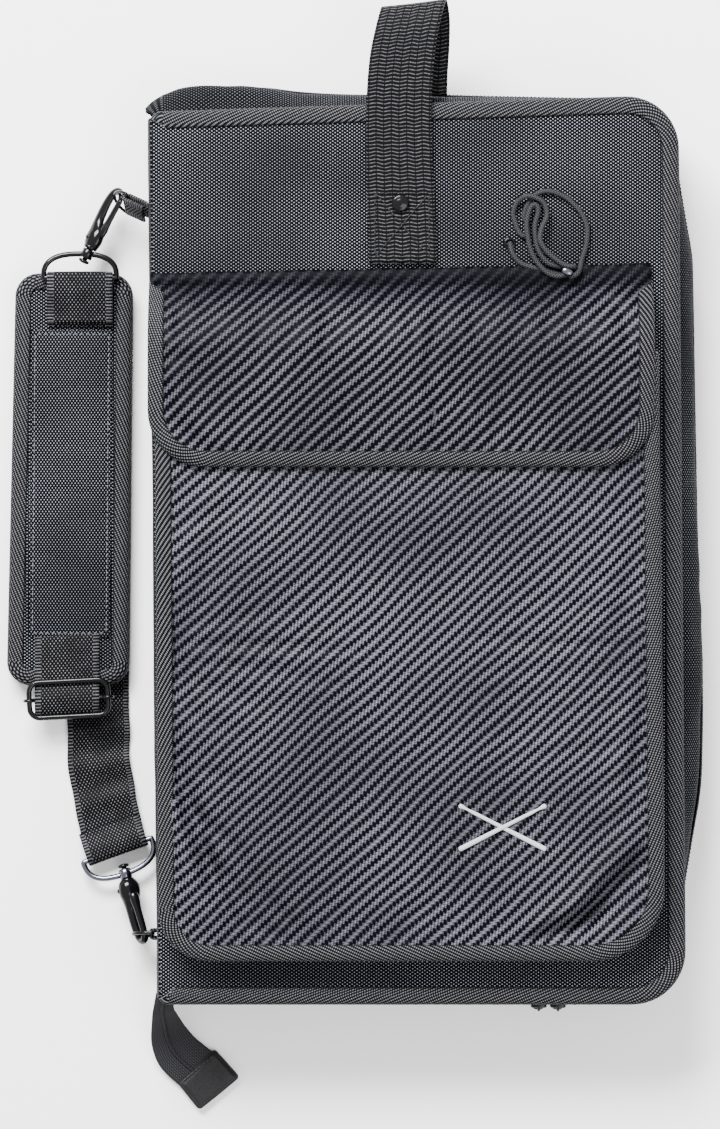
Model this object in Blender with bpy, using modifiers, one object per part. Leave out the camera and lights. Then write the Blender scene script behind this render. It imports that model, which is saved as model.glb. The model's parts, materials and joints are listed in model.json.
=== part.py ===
"""Drum stick bag: a padded case that opens like a book on three zipped sides, lying on its back.

+Z is up, +Y is towards the carrying handle and +X away from the spine. The origin is on the ground
under the middle of the whole bag, its strap, handle and zipper tail included. Lengths and positions
below are in millimetres, and MM turns them into Blender's metres where a mesh is made.
"""

import math

import bmesh
import bpy
import numpy as np
from mathutils import Matrix, Vector

MM = 0.001
GAP = 0.3

# The covers' outline, anticlockwise from the spine's lower end, and its corner radii.
COVER_CORNERS = ((-105.5, -236.0), (170.0, -236.0), (169.0, 248.0), (-110.5, 239.0))
COVER_RADII = (5.0, 27.0, 27.0, 5.0)

# Heights above the ground, from the back cover up.
BACK_TOP = 6.0
REAR_WALL = (7.1, 27.3)
REAR_CHAIN = (27.8, 30.2)
FRONT_CHAIN = (30.6, 33.0)
FRONT_WALL = (33.5, 52.8)
FRONT_PANEL = (53.8, 60.0)
COVER_TOP = FRONT_PANEL[1]
SPINE = (6.3, 51.5)
SPINE_THICKNESS = 3.2
BINDING_WIDTH = 3.0
BINDING_PROUD = 0.8
WALL_THICKNESS = 1.8
CHAIN_THICKNESS = 2.2
HINGE_OFFSET, HINGE_HEIGHT = -2.2, 55.0

# How far the zipped walls swell outwards halfway up: along X on top, along Y on the right.
SWELL_TOP = ((-110.0, 5.0), (-77.0, 16.0), (-20.0, 14.0), (40.0, 9.0), (100.0, 5.0), (145.0, 2.5))
SWELL_RIGHT = (
    (-236.0, 0.8),
    (-173.0, 9.0),
    (-120.0, 17.0),
    (-52.0, 18.7),
    (0.0, 15.5),
    (164.0, 13.0),
    (208.0, 3.5),
    (248.0, 2.5),
)
SWELL_BOTTOM = 0.8

# Stick pockets sewn to the linings: where the channels start and end, and their rise.
BACK_CHANNELS = {"left": -92.0, "width": 60.0, "count": 4, "low": -222.0, "high": 70.0, "rise": 13.0}
FRONT_CHANNELS = {"left": -92.0, "width": 80.0, "count": 3, "low": -222.0, "high": 30.0, "rise": 10.0}
LINING_INSET = 8.0
POCKET_CLOTH = 1.2

# The outer pocket and its flap.
POCKET_CORNERS = ((-101.5, -211.5), (163.0, -211.5), (162.0, 110.0), (-104.5, 110.0))
POCKET_RADII = (30.0, 30.0, 1.0, 1.0)
POCKET_FLOOR = 60.3
POCKET_TOP = (74.2, 76.0)
FLAP_LEFT, FLAP_RIGHT = -110.5, 157.5
FLAP_HINGE_Y = 147.0
FLAP_LOW = 50.0
FLAP_ROOT_Z, FLAP_TOP_Z = 61.9, 80.4
FLAP_RISE_END = 114.0
FLAP_CORNER = 30.0
FLAP_THICKNESS = 1.8
FLAP_CORD_RADIUS = 2.0

# The carrying handle's webbing and the shoulder strap's.
HANDLE_X, HANDLE_WIDTH = 22.0, 36.0
WEBBING_THICKNESS = 1.5
STRAP_WIDTH = 34.0

# The elastic cord that hangs the bag from a drum, wound on the front cover.
CORD_CENTRE = (102.1, 173.8)
CORD_RING = (9.0, 21.6)
CORD_HEIGHT = (62.9, 68.4)

# Shoulder strap: pad, swivel hooks and the D rings that they clip to.
PAD_CORNERS = ((-190.0, -66.8), (-124.8, -66.8), (-122.7, 155.8), (-185.0, 155.8))
PAD_RADII = (12.0, 12.0, 12.0, 12.0)
PAD_HEIGHTS = (2.4, 13.0)
EYE_WIRE = 1.45
RING_WIRE = 0.95
RING_BAR, RING_DEPTH, RING_TAB_WIDTH = 14.0, 11.0, 9.0
HOOK_CROSSING = 35.0
EYE_HALF_WIDTH = 19.8
UPPER_EYE = {"bar": (-150.3, 153.6, 17.7), "along": (1.0, 0.0, 0.0), "out": (0.0, 1.0, 0.0), "boss": (4.0, 13.0)}
LOWER_EYE = {"bar": (-130.6, -157.5, 7.5), "along": (0.94, 0.34, 0.0), "out": (0.34, -0.94, 0.12), "boss": (0.0, 13.6)}
UPPER_HOOK_AIM, UPPER_HOOK_ROLL = (18.1, 36.2, 2.0), 37.0
LOWER_HOOK_AIM, LOWER_HOOK_ROLL = (10.5, -38.6, 7.5), 120.0
UPPER_RING = {"out": (0.72, -0.36, 0.6), "span": (0.56, -0.23, -0.8), "reach": (11.0, 0.0), "leg": 9.2}
LOWER_RING = {"out": (1.0, 0.0, 0.0), "span": (0.0, 0.2, 0.98), "reach": (6.5, 5.8), "leg": 2.4}

MATERIALS = {
    "basket_weave": ((0.045, 0.046, 0.052), 0.75, 0.0),
    "ribbed_twill": ((0.06, 0.058, 0.066), 0.5, 0.0),
    "edge_tape": ((0.03, 0.03, 0.032), 0.7, 0.0),
    "webbing": ((0.025, 0.025, 0.028), 0.65, 0.0),
    "lining": ((0.03, 0.03, 0.033), 0.85, 0.0),
    "zip_plastic": ((0.02, 0.02, 0.022), 0.45, 0.0),
    "black_metal": ((0.02, 0.02, 0.022), 0.2, 0.8),
    "grey_metal": ((0.3, 0.3, 0.34), 0.25, 1.0),
    "elastic": ((0.03, 0.03, 0.034), 0.7, 0.0),
    "smooth_vinyl": ((0.02, 0.02, 0.022), 0.45, 0.0),
    "touch_tape": ((0.015, 0.015, 0.016), 0.9, 0.0),
}


# Scene, materials and placing


def clear_scene():
    for obj in list(bpy.data.objects):
        bpy.data.objects.remove(obj, do_unlink=True)


def make_collection(name, hidden=False):
    collection = bpy.data.collections.new(name)
    bpy.context.scene.collection.children.link(collection)
    collection.hide_render = hidden
    return collection


def make_material(name):
    colour, roughness, metallic = MATERIALS[name]
    material = bpy.data.materials.new(name)
    material.use_nodes = True
    shader = material.node_tree.nodes["Principled BSDF"]
    shader.inputs["Base Color"].default_value = (*colour, 1.0)
    shader.inputs["Roughness"].default_value = roughness
    shader.inputs["Metallic"].default_value = metallic
    return material


def attach(obj, parent):
    """Makes obj follow parent from where it stands."""
    if parent is None:
        return
    bpy.context.view_layer.update()
    obj.parent = parent
    obj.matrix_parent_inverse = parent.matrix_world.inverted()


def pivot(name, at, parent=None):
    """An empty on a joint's axis, which the joint's parts follow."""
    empty = bpy.data.objects.new(name, None)
    empty.location = Vector(at) * MM
    BAG.objects.link(empty)
    attach(empty, parent)
    return empty


def add_part(name, data, material, parent, collection=None):
    obj = bpy.data.objects.new(name, data)
    (collection or BAG).objects.link(obj)
    data.materials.append(MATERIAL[material])
    attach(obj, parent)
    return obj


# Shapes


def plate(name, outlines, low, high, material, parent=None, place=None):
    """A flat outline, with any further outlines as holes, between two heights of its own frame."""
    curve = bpy.data.curves.new(name, "CURVE")
    curve.dimensions = "2D"
    curve.fill_mode = "BOTH"
    curve.extrude = (high - low) / 2 * MM
    for outline in outlines:
        spline = curve.splines.new("POLY")
        spline.points.add(len(outline) - 1)
        for point, (x, y) in zip(spline.points, outline):
            point.co = (x * MM, y * MM, 0.0, 1.0)
        spline.use_cyclic_u = True
    obj = add_part(name, curve, material, None)
    middle = Matrix.Translation((0.0, 0.0, (low + high) / 2 * MM))
    obj.matrix_world = (place or Matrix.Identity(4)) @ middle
    attach(obj, parent)
    return obj


def tube(name, points, radius, material, parent=None, closed=False, radii=None, sides=2):
    """A round bar along points, whose thickness may change by the factors in radii."""
    curve = bpy.data.curves.new(name, "CURVE")
    curve.dimensions = "3D"
    curve.bevel_depth = radius * MM
    curve.bevel_resolution = sides
    curve.use_fill_caps = not closed
    spline = curve.splines.new("POLY")
    spline.points.add(len(points) - 1)
    for index, (point, place) in enumerate(zip(spline.points, points)):
        point.co = (*(Vector(place) * MM), 1.0)
        point.radius = radii[index] if radii else 1.0
    spline.use_cyclic_u = closed
    return add_part(name, curve, material, parent)


def sheet(name, columns, rows, place, thickness, material, parent=None):
    """A grid of cloth laid out by place(u, v), u and v from 0 to 1, with half its thickness each way."""
    mesh = bpy.data.meshes.new(name)
    cloth = bmesh.new()
    bmesh.ops.create_grid(cloth, x_segments=columns, y_segments=rows, size=0.5)
    for vertex in cloth.verts:
        vertex.co = Vector(place(vertex.co.x + 0.5, vertex.co.y + 0.5)) * MM
    cloth.to_mesh(mesh)
    cloth.free()
    obj = add_part(name, mesh, material, parent)
    solidify = obj.modifiers.new("Thickness", "SOLIDIFY")
    solidify.thickness = thickness * MM
    solidify.offset = 0.0
    return obj


def drum(name, start, end, radius, material, parent=None, sides=20, collection=None):
    """A plain cylinder from start to end."""
    start, end = Vector(start), Vector(end)
    axis = end - start
    turn = axis.to_track_quat("Z", "Y").to_matrix().to_4x4()
    mesh = bpy.data.meshes.new(name)
    solid = bmesh.new()
    place = Matrix.Translation((start + end) / 2 * MM) @ turn
    bmesh.ops.create_cone(
        solid,
        cap_ends=True,
        segments=sides,
        radius1=radius * MM,
        radius2=radius * MM,
        depth=axis.length * MM,
        matrix=place,
    )
    solid.to_mesh(mesh)
    solid.free()
    return add_part(name, mesh, material, parent, collection)


def block(name, low, high, material, parent=None):
    """A box from its lowest corner to its highest."""
    low, high = Vector(low), Vector(high)
    mesh = bpy.data.meshes.new(name)
    solid = bmesh.new()
    size = Matrix.Diagonal(((high - low) * MM).to_4d())
    size[3][3] = 1.0
    bmesh.ops.create_cube(solid, size=1.0, matrix=Matrix.Translation((low + high) / 2 * MM) @ size)
    solid.to_mesh(mesh)
    solid.free()
    return add_part(name, mesh, material, parent)


def as_mesh(curve_object):
    """The curve object turned into a mesh with its caps welded, so that it can be cut and joined."""
    bpy.context.view_layer.update()
    graph = bpy.context.evaluated_depsgraph_get()
    mesh = bpy.data.meshes.new_from_object(curve_object.evaluated_get(graph))
    welded = bmesh.new()
    welded.from_mesh(mesh)
    bmesh.ops.remove_doubles(welded, verts=welded.verts, dist=0.000005)
    bmesh.ops.recalc_face_normals(welded, faces=welded.faces)
    welded.to_mesh(mesh)
    welded.free()
    name, place, parent = curve_object.name, curve_object.matrix_world.copy(), curve_object.parent
    bpy.data.objects.remove(curve_object, do_unlink=True)
    obj = bpy.data.objects.new(name, mesh)
    obj.matrix_world = place
    BAG.objects.link(obj)
    attach(obj, parent)
    return obj


def combine(obj, other, operation):
    """Cuts other from obj, or joins it on, and keeps other as a hidden wire."""
    other.hide_render = True
    other.display_type = "WIRE"
    boolean = obj.modifiers.new(other.name, "BOOLEAN")
    boolean.operation = operation
    boolean.object = other


# Outlines and paths


def inset_corners(corners, inset):
    """The corners of an anticlockwise polygon whose sides are moved in by inset."""
    sides = []
    for start, end in zip(corners, corners[1:] + corners[:1]):
        start, direction = Vector(start), (Vector(end) - Vector(start)).normalized()
        inward = Vector((-direction.y, direction.x))
        sides.append((start + inward * inset, direction))
    moved = []
    for (a, along), (b, across) in zip(sides[-1:] + sides[:-1], sides):
        share = (b - a).cross(across) / along.cross(across)
        moved.append(a + along * share)
    return moved


def rounded(corners, radii, inset=0.0, steps=6):
    """A polygon's outline, moved in by inset, with each corner turned into an arc."""
    corners = inset_corners(tuple(corners), inset)
    points = []
    for index, corner in enumerate(corners):
        incoming = (corner - corners[index - 1]).normalized()
        outgoing = (corners[(index + 1) % len(corners)] - corner).normalized()
        turn = math.atan2(incoming.cross(outgoing), incoming.dot(outgoing))
        radius = max(radii[index] - inset, 0.6)
        inward = Vector((-incoming.y, incoming.x))
        centre = corner - incoming * radius * math.tan(turn / 2) + inward * radius
        for step in range(steps + 1):
            points.append(centre + Matrix.Rotation(turn * step / steps, 2) @ (-inward * radius))
    return points


def through(points, steps):
    """A smooth curve through points, with steps pieces between each two."""
    points = [Vector(p) for p in points]
    padded = [2 * points[0] - points[1], *points, 2 * points[-1] - points[-2]]
    curve = []
    for a, b, c, d in zip(padded, padded[1:], padded[2:], padded[3:]):
        for step in range(steps):
            t = step / steps
            curve.append(
                0.5 * (2 * b + (c - a) * t + (2 * a - 5 * b + 4 * c - d) * t**2 + (3 * b - a - 3 * c + d) * t**3)
            )
    return [*curve, points[-1]]


def along_path(points):
    """A function from 0..1 to the point that far along the path, by length."""
    points = [Vector(p) for p in points]
    lengths = np.cumsum([0.0] + [(b - a).length for a, b in zip(points, points[1:])])

    def at(share):
        return Vector([np.interp(share * lengths[-1], lengths, [p[i] for p in points]) for i in range(len(points[0]))])

    return at


def local_frame(origin, first, second, third):
    """A placing matrix from an origin in millimetres and three unit directions."""
    frame = Matrix((first, second, third)).transposed().to_4x4()
    frame.translation = Vector(origin) * MM
    return frame


# The zipped walls


def wall_runs(inset):
    """The bottom, right and top runs of the covers' outline, anticlockwise, moved in by inset, and all three."""
    outline = rounded(COVER_CORNERS, COVER_RADII, inset, steps=8)
    clear_of_spine = 1.0
    lower_left, upper_left = outline[8].copy(), outline[27].copy()
    lower_left.x += clear_of_spine
    upper_left.x += clear_of_spine
    lower_arc, upper_arc = outline[9:18], outline[18:27]
    return {
        "bottom": [lower_left, lower_arc[0]],
        "right": [*lower_arc, *upper_arc],
        "top": [upper_arc[-1], upper_left],
        "round": [lower_left, *lower_arc, *upper_arc, upper_left],
    }


def swell_at(point):
    """How far the zipped wall bulges beyond the covers' edge at its fullest."""
    if point.x > COVER_CORNERS[1][0] - COVER_RADII[1]:
        return np.interp(point.y, *zip(*SWELL_RIGHT))
    if point.y > 0:
        return np.interp(point.x, *zip(*SWELL_TOP))
    return SWELL_BOTTOM


def wall(name, run, columns, heights, rows, thickness, material, parent):
    """A strip that follows part of the covers' edge and swells halfway up."""
    points = wall_runs(1.4 + thickness / 2)[run]
    at = along_path(points)
    low, high = heights
    length = sum((b - a).length for a, b in zip(points, points[1:]))
    trim = GAP / 2 / length

    def place(u, v):
        share = trim + u * (1 - 2 * trim)
        point = at(share)
        ahead, behind = at(min(share + 0.01, 1.0)), at(max(share - 0.01, 0.0))
        direction = (ahead - behind).normalized()
        outward = Vector((direction.y, -direction.x))
        z = low + v * (high - low)
        arch = math.sin(math.pi * (z - BACK_TOP) / (FRONT_PANEL[0] - BACK_TOP))
        point = point + outward * swell_at(point) * arch
        return (point.x, point.y, z)

    return sheet(name, columns, rows, place, thickness, material, parent)


def make_walls(side, heights, chain, parent):
    for run, columns in (("bottom", 8), ("right", 34), ("top", 12)):
        wall(f"{side}_gusset_{run}", run, columns, heights, 3, WALL_THICKNESS, "basket_weave", parent)
    wall(f"{side}_zip_chain", "round", 60, chain, 1, CHAIN_THICKNESS, "zip_plastic", parent)


# Covers, spine and linings


def make_cover(side, low, high, binding, parent):
    edge = rounded(COVER_CORNERS, COVER_RADII)
    inner = rounded(COVER_CORNERS, COVER_RADII, BINDING_WIDTH)
    panel = rounded(COVER_CORNERS, COVER_RADII, BINDING_WIDTH + GAP)
    plate(f"{side}_panel", [panel], low, high, "basket_weave", parent)
    plate(f"{side}_binding", [edge, inner], *binding, "edge_tape", parent)


def spine_line(offset, share):
    """A point on the spine's outer face moved inwards by offset, from its lower end to its upper."""
    lower, upper = Vector(COVER_CORNERS[0]), Vector(COVER_CORNERS[3])
    return lower.lerp(upper, share) + Vector((offset, 0.0))


def make_spine():
    outer, inner = -1.6, SPINE_THICKNESS - 1.6
    outline = [spine_line(outer, 0.0), spine_line(inner, 0.0), spine_line(inner, 1.0), spine_line(outer, 1.0)]
    plate("spine_panel", [outline], *SPINE, "basket_weave")


def make_lining(side, low, high, parent):
    outline = rounded(COVER_CORNERS, COVER_RADII, LINING_INSET)
    plate(f"{side}_lining", [outline], low, high, "lining", parent)


def stick_pocket(name, channels, seam, rise, parent):
    """Cloth sewn down between channels and arched over each one, with its mouth at the upper end."""
    length = channels["width"] * channels["count"]

    def place(u, v):
        arch = abs(math.sin(math.pi * channels["count"] * u)) ** 0.8
        y = channels["low"] + v * (channels["high"] - channels["low"])
        return (channels["left"] + u * length, y, seam + rise * arch)

    sheet(name, 8 * channels["count"], 1, place, POCKET_CLOTH, "lining", parent)


def pocket_hem(name, channels, low, high, parent):
    """The sewn strip that closes the stick channels' lower ends."""
    left = channels["left"]
    right = left + channels["width"] * channels["count"]
    block(name, (left, channels["low"] - 4.0, low), (right, channels["low"] - 1.0, high), "edge_tape", parent)


def make_inside(front):
    make_lining("back", 6.3, 7.5, None)
    stick_pocket("back_stick_pocket", BACK_CHANNELS, 8.6, BACK_CHANNELS["rise"], None)
    pocket_hem("back_pocket_hem", BACK_CHANNELS, 7.8, 19.0, None)
    make_lining("front", 52.3, 53.5, front)
    stick_pocket("front_stick_pocket", FRONT_CHANNELS, 51.2, -FRONT_CHANNELS["rise"], front)
    pocket_hem("front_pocket_hem", FRONT_CHANNELS, 42.5, 52.0, front)


# The outer pocket


def pocket_walls(front):
    """The pocket's three side walls, between the front cover and the pocket's face."""
    outline = rounded(POCKET_CORNERS, POCKET_RADII, 2.0, steps=6)
    low, high = POCKET_FLOOR, POCKET_TOP[0] - GAP
    runs = {
        "left": [outline[-1], outline[0], *outline[1:4]],
        "bottom": outline[3:11],
        "right": [*outline[10:14], outline[14]],
    }
    for name, points in runs.items():
        at = along_path(points)

        def place(u, v, at=at):
            point = at(0.004 + u * 0.992)
            return (point.x, point.y, low + v * (high - low))

        sheet(f"pocket_wall_{name}", 9, 1, place, POCKET_CLOTH, "ribbed_twill", front)


def pocket_binding(front):
    """The tape along the pocket's two sides and its foot: a flat U."""
    outer = rounded(POCKET_CORNERS, POCKET_RADII, 0.5, steps=6)
    inner = rounded(POCKET_CORNERS, POCKET_RADII, 8.0, steps=6)
    mouth = POCKET_CORNERS[2][1] - 1.5
    band = [p for p in outer if p.y < mouth] + [Vector((outer[14].x, mouth)), Vector((inner[14].x, mouth))]
    back = [p for p in reversed(inner) if p.y < mouth - 8.0]
    outline = [*band, *back, Vector((inner[-1].x, mouth)), Vector((outer[-1].x, mouth))]
    plate("pocket_binding", [outline], POCKET_TOP[1] + GAP, POCKET_TOP[1] + 1.1, "edge_tape", front)


def make_pocket(front):
    face = rounded(POCKET_CORNERS, POCKET_RADII, 0.5)
    plate("pocket_face", [face], *POCKET_TOP, "ribbed_twill", front)
    pocket_walls(front)
    pocket_binding(front)
    block("pocket_touch_tape", (-40.0, 62.0, 76.3), (90.0, 82.0, 77.3), "touch_tape", front)


# The flap


def flap_height(y):
    share = min(max((FLAP_HINGE_Y - y) / (FLAP_HINGE_Y - FLAP_RISE_END), 0.0), 1.0)
    return FLAP_ROOT_Z + (FLAP_TOP_Z - FLAP_ROOT_Z) * (share + 0.16 * math.sin(math.pi * share))


def flap_outline(inset):
    """The flap's edge from its left root round its foot to its right root, moved in by inset."""
    corners = ((FLAP_LEFT, FLAP_LOW), (FLAP_RIGHT, FLAP_LOW), (FLAP_RIGHT, FLAP_HINGE_Y), (FLAP_LEFT, FLAP_HINGE_Y))
    foot = rounded(corners, (FLAP_CORNER, FLAP_CORNER, 1.0, 1.0), inset, steps=8)[:18]
    return foot


def flap_low_edge(x, inset):
    """How low the flap reaches at x, with its lower corners rounded."""
    across = FLAP_CORNER - min(x - FLAP_LEFT, FLAP_RIGHT - x)
    if across <= 0:
        return FLAP_LOW + inset
    radius = FLAP_CORNER - inset
    return FLAP_LOW + FLAP_CORNER - math.sqrt(max(radius**2 - across**2, 0.0))


def make_flap(front):
    flap = pivot("flap_hinge", (0.0, FLAP_HINGE_Y, FLAP_ROOT_Z), front)
    edge = 2 * FLAP_CORD_RADIUS + 0.5
    left, right = FLAP_LEFT + edge, FLAP_RIGHT - edge

    def place(u, v):
        x = left + (right - left) * (0.5 - 0.5 * math.cos(math.pi * u))
        low = flap_low_edge(x, edge)
        y = FLAP_HINGE_Y - v * (FLAP_HINGE_Y - low)
        return (x, y, flap_height(y))

    sheet("flap_panel", 22, 10, place, FLAP_THICKNESS, "ribbed_twill", flap)
    foot = flap_outline(FLAP_CORD_RADIUS)
    heights = np.linspace(FLAP_HINGE_Y - 1.0, foot[0].y + 6.0, 8)
    left_side = [Vector((foot[0].x, y)) for y in heights]
    right_side = [Vector((foot[-1].x, y)) for y in reversed(heights)]
    edge_path = [(p.x, p.y, flap_height(p.y) + 0.6) for p in (*left_side, *foot, *right_side)]
    tube("flap_binding", edge_path, FLAP_CORD_RADIUS, "edge_tape", flap)
    block("flap_touch_tape", (-40.0, 62.0, 77.7), (90.0, 82.0, 79.1), "touch_tape", flap)
    seam = (FLAP_LEFT, FLAP_HINGE_Y + 1.4, COVER_TOP + 1.1), (FLAP_RIGHT, FLAP_HINGE_Y + 9.0, COVER_TOP + 2.6)
    block("flap_seam_strip", *seam, "ribbed_twill", front)


# The carrying handle and the hanging cord


def make_handle(front):
    """Webbing sewn to the front cover, looped over its upper edge and sewn behind it."""
    route = (
        (159.0, 62.9),
        (185.0, 62.0),
        (215.0, 62.2),
        (246.0, 63.6),
        (272.0, 64.6),
        (291.0, 61.5),
        (298.0, 54.0),
        (292.0, 46.5),
        (276.0, 43.0),
        (262.0, 42.0),
    )
    at = along_path(through([(y, z, 0.0) for y, z in route], 5))

    def place(u, v):
        point = at(u)
        lean = 0.06 * (point.x - 159.0)
        return (HANDLE_X - HANDLE_WIDTH / 2 + v * HANDLE_WIDTH + lean, point.x, point.y)

    sheet("handle_webbing", 30, 1, place, WEBBING_THICKNESS, "webbing", front)
    drum("handle_rivet", (22.8, 190.0, 63.1), (22.8, 190.0, 64.5), 4.5, "black_metal", front)


def make_cord(front):
    inner, outer = CORD_RING
    low, high = CORD_HEIGHT
    middle, half = (inner + outer) / 2, (outer - inner) / 2
    profile = [
        (middle + half * math.copysign(abs(math.cos(a)) ** 0.6, math.cos(a)),
         (low + high) / 2 + (high - low) / 2 * math.copysign(abs(math.sin(a)) ** 0.6, math.sin(a)))
        for a in (math.tau * (i + 0.5) / 12 for i in range(12))
    ]
    mesh = bpy.data.meshes.new("hanging_cord")
    ring = bmesh.new()
    corners = [ring.verts.new((r * MM, 0.0, z * MM)) for r, z in reversed(profile)]
    for first, second in zip(corners, corners[1:] + corners[:1]):
        ring.edges.new((first, second))
    ring.to_mesh(mesh)
    ring.free()
    coil = add_part("hanging_cord", mesh, "elastic", None)
    coil.location = (CORD_CENTRE[0] * MM, CORD_CENTRE[1] * MM, 0.0)
    screw = coil.modifiers.new("Turn", "SCREW")
    screw.steps = 32
    screw.render_steps = 32
    screw.use_merge_vertices = True
    screw.merge_threshold = 0.0001
    screw.use_normal_calculate = True
    attach(coil, front)
    x, y = CORD_CENTRE
    drum("cord_crimp", (x + 6.0, y - 19.0, high + 2.4), (x + 13.0, y - 15.0, high + 2.4), 2.0, "grey_metal", front, sides=12)
    drum("cord_eyelet", (x - 21.0, y - 5.0, 60.2), (x - 21.0, y - 5.0, 60.9), 3.4, "black_metal", front)


# The zipper's ends


def make_zipper_sliders():
    """Two sliders parked nose to nose on the lower side, each with a hanging pull."""
    for name, x in (("left", 98.0), ("right", 108.4)):
        slider = pivot(f"{name}_slider_run", (x, -240.0, 30.4))
        block(f"{name}_zip_slider", (x - 4.4, -242.4, 26.0), (x + 4.4, -239.2, 35.0), "black_metal", slider)
        hinge = pivot(f"{name}_pull_hinge", (x, -243.4, 26.8), slider)
        outline = rounded(((-3.0, -21.0), (3.0, -21.0), (2.2, 0.0), (-2.2, 0.0)), (2.4, 2.4, 1.6, 1.6))
        place = local_frame((x, -243.4, 26.8), (1.0, 0.0, 0.0), (0.0, 0.0, 1.0), (0.0, -1.0, 0.0))
        plate(f"{name}_zip_pull", [outline], -0.7, 0.7, "black_metal", hinge, place)


def make_zipper_tail():
    """The spare length of zipper past the spine, and the folded cap sewn over its end."""
    route = (
        (-105.0, -239.5, 29.0),
        (-104.0, -247.0, 21.0),
        (-102.0, -258.0, 10.0),
        (-96.0, -270.0, 4.6),
        (-90.0, -275.6, 3.2),
    )
    at = along_path(through(route, 4))
    end_across = Vector((0.72, 0.69, 0.0)).normalized()

    def place(u, v):
        across = Vector((1.0, 0.1, 0.0)).lerp(end_across, u).normalized()
        width = 9.0 + 16.0 * u
        return at(u) + across * width * (v - 0.5)

    sheet("zip_tail_tape", 14, 1, place, 1.6, "zip_plastic")
    cap = [(-97.4, -285.2), (-86.0, -299.4), (-64.2, -281.6), (-77.8, -266.4), (-84.0, -272.6), (-91.6, -279.6)]
    plate("zip_tail_cap", [cap], 0.4, 6.0, "smooth_vinyl")


# The shoulder strap


def make_pad():
    low, high = PAD_HEIGHTS
    plate("shoulder_pad", [rounded(PAD_CORNERS, PAD_RADII, 0.6)], low, high, "basket_weave")
    band = [rounded(PAD_CORNERS, PAD_RADII), rounded(PAD_CORNERS, PAD_RADII, 8.0)]
    plate("pad_binding", band, high + GAP, high + 1.1, "edge_tape")
    centre = ((-178.6, -41.3), (-134.1, -41.3), (-132.6, 125.5), (-177.0, 125.5))
    plate("pad_centre_panel", [rounded(centre, (1.0,) * 4, 0.0)], high + GAP, high + 1.3, "basket_weave")


def hairpin_points(bar, radius, leg, fall):
    """Webbing in from below, round a bar and back above it, as offsets outwards and up."""
    arc = [(radius * math.sin(a), -radius * math.cos(a)) for a in np.linspace(0.0, math.pi, 9)]
    return [(-leg, -radius - fall), (-leg / 2, -radius - fall / 2), *arc, (-leg / 2, radius), (-leg, radius)]


def strap_tab(name, bar, along, out, width, leg, columns=20):
    """A webbing loop round the bar of a strap eye."""
    along, out = Vector(along).normalized(), Vector(out).normalized()
    up = along.cross(out) if along.cross(out).z > 0 else out.cross(along)
    points = hairpin_points(bar, EYE_WIRE + GAP + WEBBING_THICKNESS / 2 + 0.05, leg, 0.0)
    at = along_path([(a, b, 0.0) for a, b in points])

    def place(u, v):
        offset = at(u)
        return Vector(bar) + out * offset.x + up * offset.y + along * width * (v - 0.5)

    sheet(name, columns, 1, place, WEBBING_THICKNESS, "webbing")


def adjusting_webbing():
    """The strap's lower band: flat from under the pad, then round the lower eye's bar."""
    bar, along = Vector(LOWER_EYE["bar"]), Vector(LOWER_EYE["along"]).normalized()
    out = Vector(LOWER_EYE["out"]).normalized()
    up = along.cross(out) if along.cross(out).z > 0 else out.cross(along)
    flat = through(((-141.4, -69.0, 1.2), (-141.2, -97.2, 1.2), (-139.6, -118.9, 1.6), (-135.0, -138.0, 3.2)), 3)
    loop = hairpin_points(bar, EYE_WIRE + GAP + WEBBING_THICKNESS / 2 + 0.05, 8.0, 0.0)
    path = [*flat, *(bar + out * a + up * b for a, b in loop)]
    at = along_path(path)
    turned_at = 0.45

    def place(u, v):
        across = Vector((1.0, 0.0, 0.0)).lerp(along, min(u / turned_at, 1.0)).normalized()
        return at(u) + across * STRAP_WIDTH * (v - 0.5)

    sheet("adjusting_webbing", 32, 1, place, WEBBING_THICKNESS, "webbing")


def lower_pad_tab():
    """Webbing from the pad, under the adjuster's upper wire, over its bar and under its lower wire."""
    route = (
        (-43.0, 15.1),
        (-57.0, 15.1),
        (-65.0, 15.2),
        (-70.0, 16.9),
        (-74.7, 17.9),
        (-79.4, 16.9),
        (-84.2, 15.2),
        (-87.5, 12.5),
        (-88.5, 9.0),
    )
    at = along_path(through([(y, z, 0.0) for y, z in route], 3))

    def place(u, v):
        point = at(u)
        return (-157.4 + 35.0 * (v - 0.5), point.x, point.y)

    sheet("lower_pad_tab", 24, 1, place, WEBBING_THICKNESS, "webbing")


def make_adjuster():
    """A wire frame with a loose middle bar that the webbing is drawn over."""
    centre, tilt = Vector((-156.4, -74.7, 18.4)), math.radians(3.0)
    outline = rounded(((-21.4, -9.6), (21.4, -9.6), (21.4, 9.6), (-21.4, 9.6)), (5.5,) * 4, steps=5)
    turn = Matrix.Rotation(tilt, 3, "Z")
    tube("adjuster_frame", [centre + turn @ Vector((*p, 0.0)) for p in outline], 1.45, "black_metal", closed=True)
    ends = [centre + turn @ Vector((x, 0.0, -2.8)) for x in (-19.4, 19.4)]
    drum("adjuster_bar", *ends, 1.2, "black_metal", sides=12)


def eye_frame(eye):
    bar, along = Vector(eye["bar"]), Vector(eye["along"]).normalized()
    out = Vector(eye["out"]).normalized()
    boss = bar + along * eye["boss"][0] + out * eye["boss"][1]
    return bar, along, out, boss


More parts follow.
